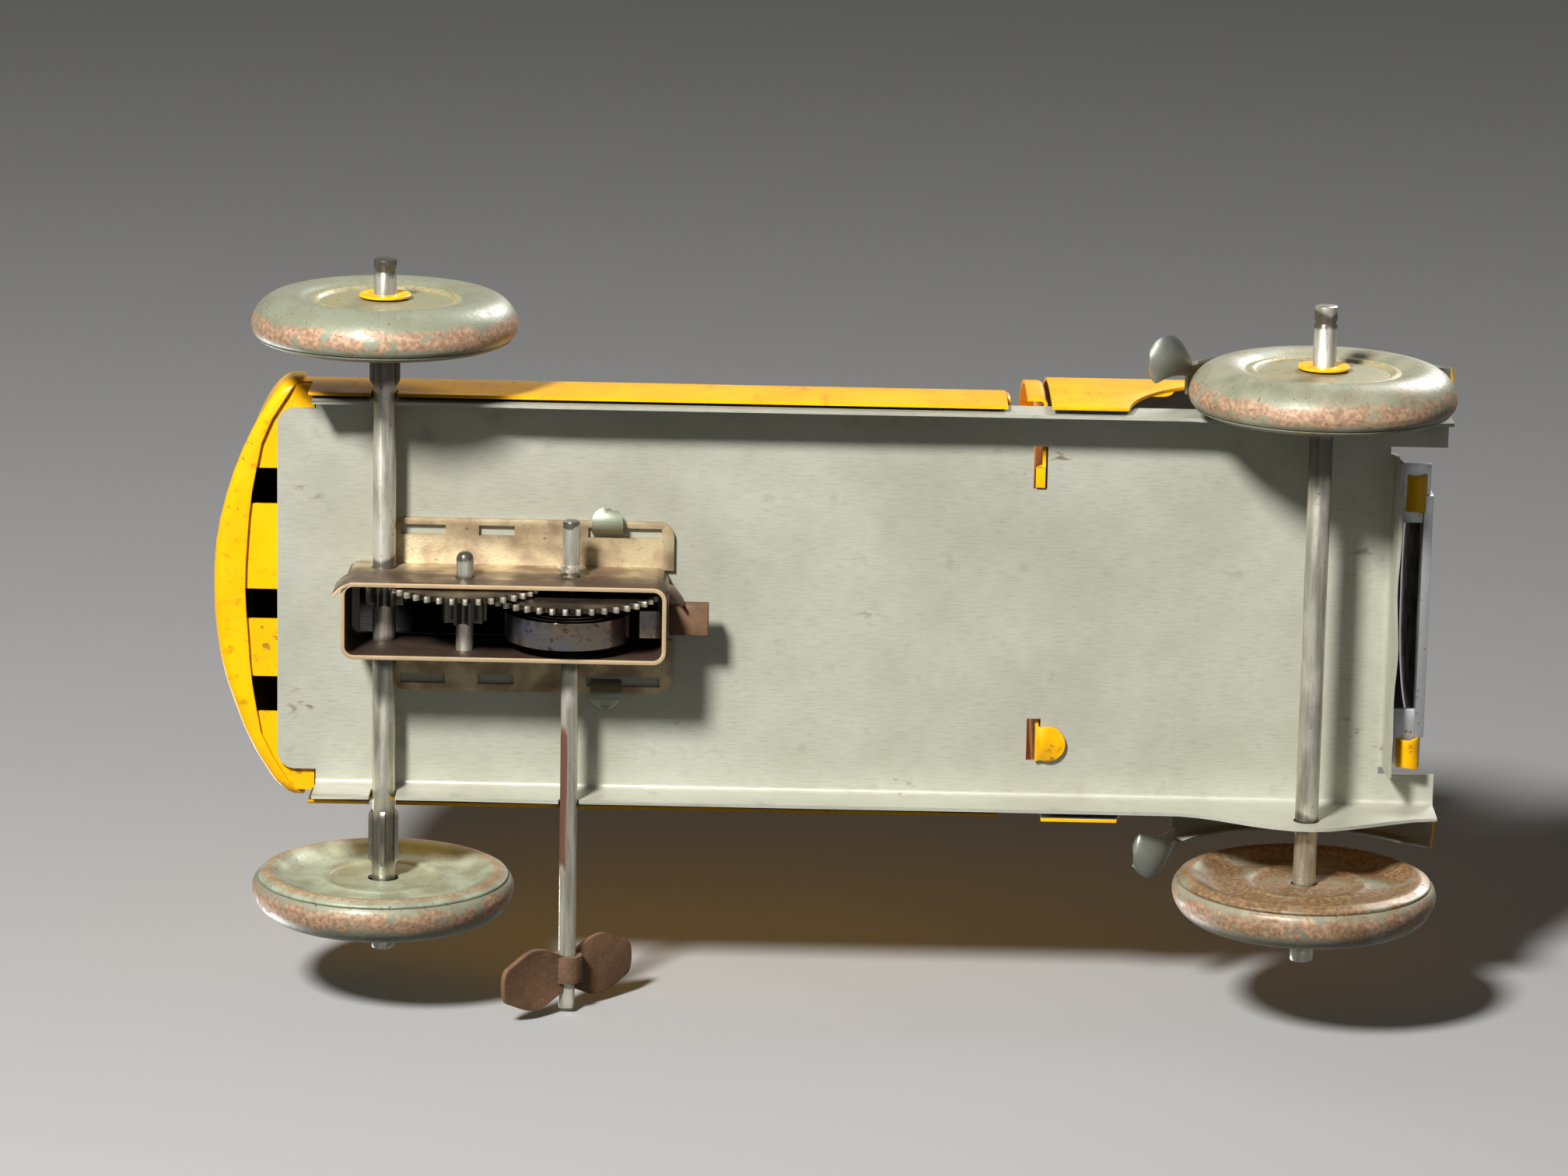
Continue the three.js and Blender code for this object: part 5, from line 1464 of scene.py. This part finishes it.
def backdrop_paint(name, kind):
    """Pale card: the floor is clear from below, and the lying card shows only through its back."""
    material = bpy.data.materials.new(name)
    material.use_nodes = True
    tree = material.node_tree
    card = next(n for n in tree.nodes if n.type == "BSDF_PRINCIPLED")
    card.inputs["Base Color"].default_value = (0.42, 0.42, 0.417, 1)
    card.inputs["Roughness"].default_value = 0.9
    card.inputs["Specular IOR Level"].default_value = 0.1
    if kind == "foot":
        return material
    clear = tree.nodes.new("ShaderNodeBsdfTransparent")
    choose = tree.nodes.new("ShaderNodeMixShader")
    output = next(n for n in tree.nodes if n.type == "OUTPUT_MATERIAL")
    if kind == "floor":
        share = tree.nodes.new("ShaderNodeNewGeometry").outputs["Backfacing"]
        front, back = card, clear
    else:
        through = tree.nodes.new("ShaderNodeMath")
        through.operation = "GREATER_THAN"
        through.inputs[1].default_value = 0.5
        path = tree.nodes.new("ShaderNodeLightPath")
        tree.links.new(path.outputs["Transparent Depth"], through.inputs[0])
        share = through.outputs[0]
        front, back = clear, card
    for source, socket in zip((share, front.outputs[0], back.outputs[0]), choose.inputs):
        tree.links.new(source, socket)
    tree.links.new(choose.outputs[0], output.inputs["Surface"])
    return material


def card(name, corners, paint):
    mesh = bpy.data.meshes.new(name)
    mesh.from_pydata(corners, [], [(0, 1, 2, 3)])
    mesh.materials.append(paint)
    made = shown(name, mesh)
    made.visible_shadow = False
    made.visible_diffuse = False
    made.visible_glossy = False
    return made


LOW, HIGH = CAD_BOX
REACH = 3.0
LYING_Y = HIGH.y + 0.0006


def lying_card(name, z0, z1, kind):
    """Part of the upright card that the truck's left side lies against in the main view."""
    corners = [(-REACH, LYING_Y, z0), (REACH, LYING_Y, z0), (REACH, LYING_Y, z1), (-REACH, LYING_Y, z1)]
    return card(name, corners, backdrop_paint(f"pale {name}", kind))


FLOOR_CORNERS = [(-REACH, -REACH, 0), (REACH, -REACH, 0), (REACH, REACH, 0), (-REACH, REACH, 0)]
card("floor", FLOOR_CORNERS, backdrop_paint("pale floor", "floor"))
LYING_CARDS = (
    lying_card("lying_card", 0, 4, "lying"), lying_card("lying_card_foot", -1.5, 0, "foot"),
)


def area_light(name, place, aim, size, power, tint=(1, 1, 1)):
    light = bpy.data.lights.new(name, "AREA")
    light.shape = "DISK"
    light.size = size
    light.energy = power
    light.color = tint
    made = bpy.data.objects.new(name, light)
    made.location = place
    made.rotation_euler = (Vector(aim) - Vector(place)).to_track_quat("-Z", "Y").to_euler()
    bpy.context.scene.collection.objects.link(made)
    return made


CENTRE = (LOW + HIGH) / 2
area_light("under_key", CENTRE + Vector((-0.38, -0.80, -0.92)), CENTRE, 0.20, 28.0, (1.0, 0.99, 0.975))
area_light("under_fill", CENTRE + Vector((0.5, -0.4, -1.2)), CENTRE, 1.0, 0.5)
top_key = area_light("top_key", CENTRE + Vector((0.8, -1.0, 1.5)), CENTRE, 0.7, 30.0)
top_fill = area_light("top_fill", CENTRE + Vector((-1.2, 1.1, 1.2)), CENTRE, 0.9, 18.0)
unlit = bpy.data.collections.new("not lit from above")
for number, made in enumerate(LYING_CARDS):
    unlit.objects.link(made)
    unlit.collection_objects[number].light_linking.link_state = "EXCLUDE"
top_key.light_linking.receiver_collection = unlit
top_fill.light_linking.receiver_collection = unlit

WORLD_STRENGTH = 0.08
WORLD_STRENGTH_IN_GLOSS = 0.30
world = bpy.data.worlds.new("pale studio")
world.use_nodes = True
sky = world.node_tree
background = sky.nodes["Background"]
background.inputs["Color"].default_value = (0.82, 0.82, 0.81, 1)
path = sky.nodes.new("ShaderNodeLightPath")
strength = sky.nodes.new("ShaderNodeMapRange")
strength.inputs["To Min"].default_value = WORLD_STRENGTH
strength.inputs["To Max"].default_value = WORLD_STRENGTH_IN_GLOSS
sky.links.new(path.outputs["Is Glossy Ray"], strength.inputs["Value"])
sky.links.new(strength.outputs[0], background.inputs["Strength"])
bpy.context.scene.world = world
bpy.context.scene.view_settings.view_transform = "Standard"

CAMERA_PLACE = Vector((0.0469, -0.2465, -0.9942))
CAMERA_FORWARD = Vector((-0.0507, 0.2260, 0.9728)).normalized()
CAMERA_UP = Vector((-0.0306, -0.9739, 0.2247))
lens = bpy.data.cameras.new("camera")
lens.lens = 138.7
lens.sensor_width = 36.0
lens.clip_start = 0.05
lens.clip_end = 50.0
camera = bpy.data.objects.new("camera", lens)
right = CAMERA_FORWARD.cross(CAMERA_UP).normalized()
up = right.cross(CAMERA_FORWARD)
turn = Matrix((right, up, -CAMERA_FORWARD)).transposed().to_4x4()
camera.matrix_world = Matrix.Translation(CAMERA_PLACE) @ turn
bpy.context.scene.collection.objects.link(camera)
bpy.context.scene.camera = camera
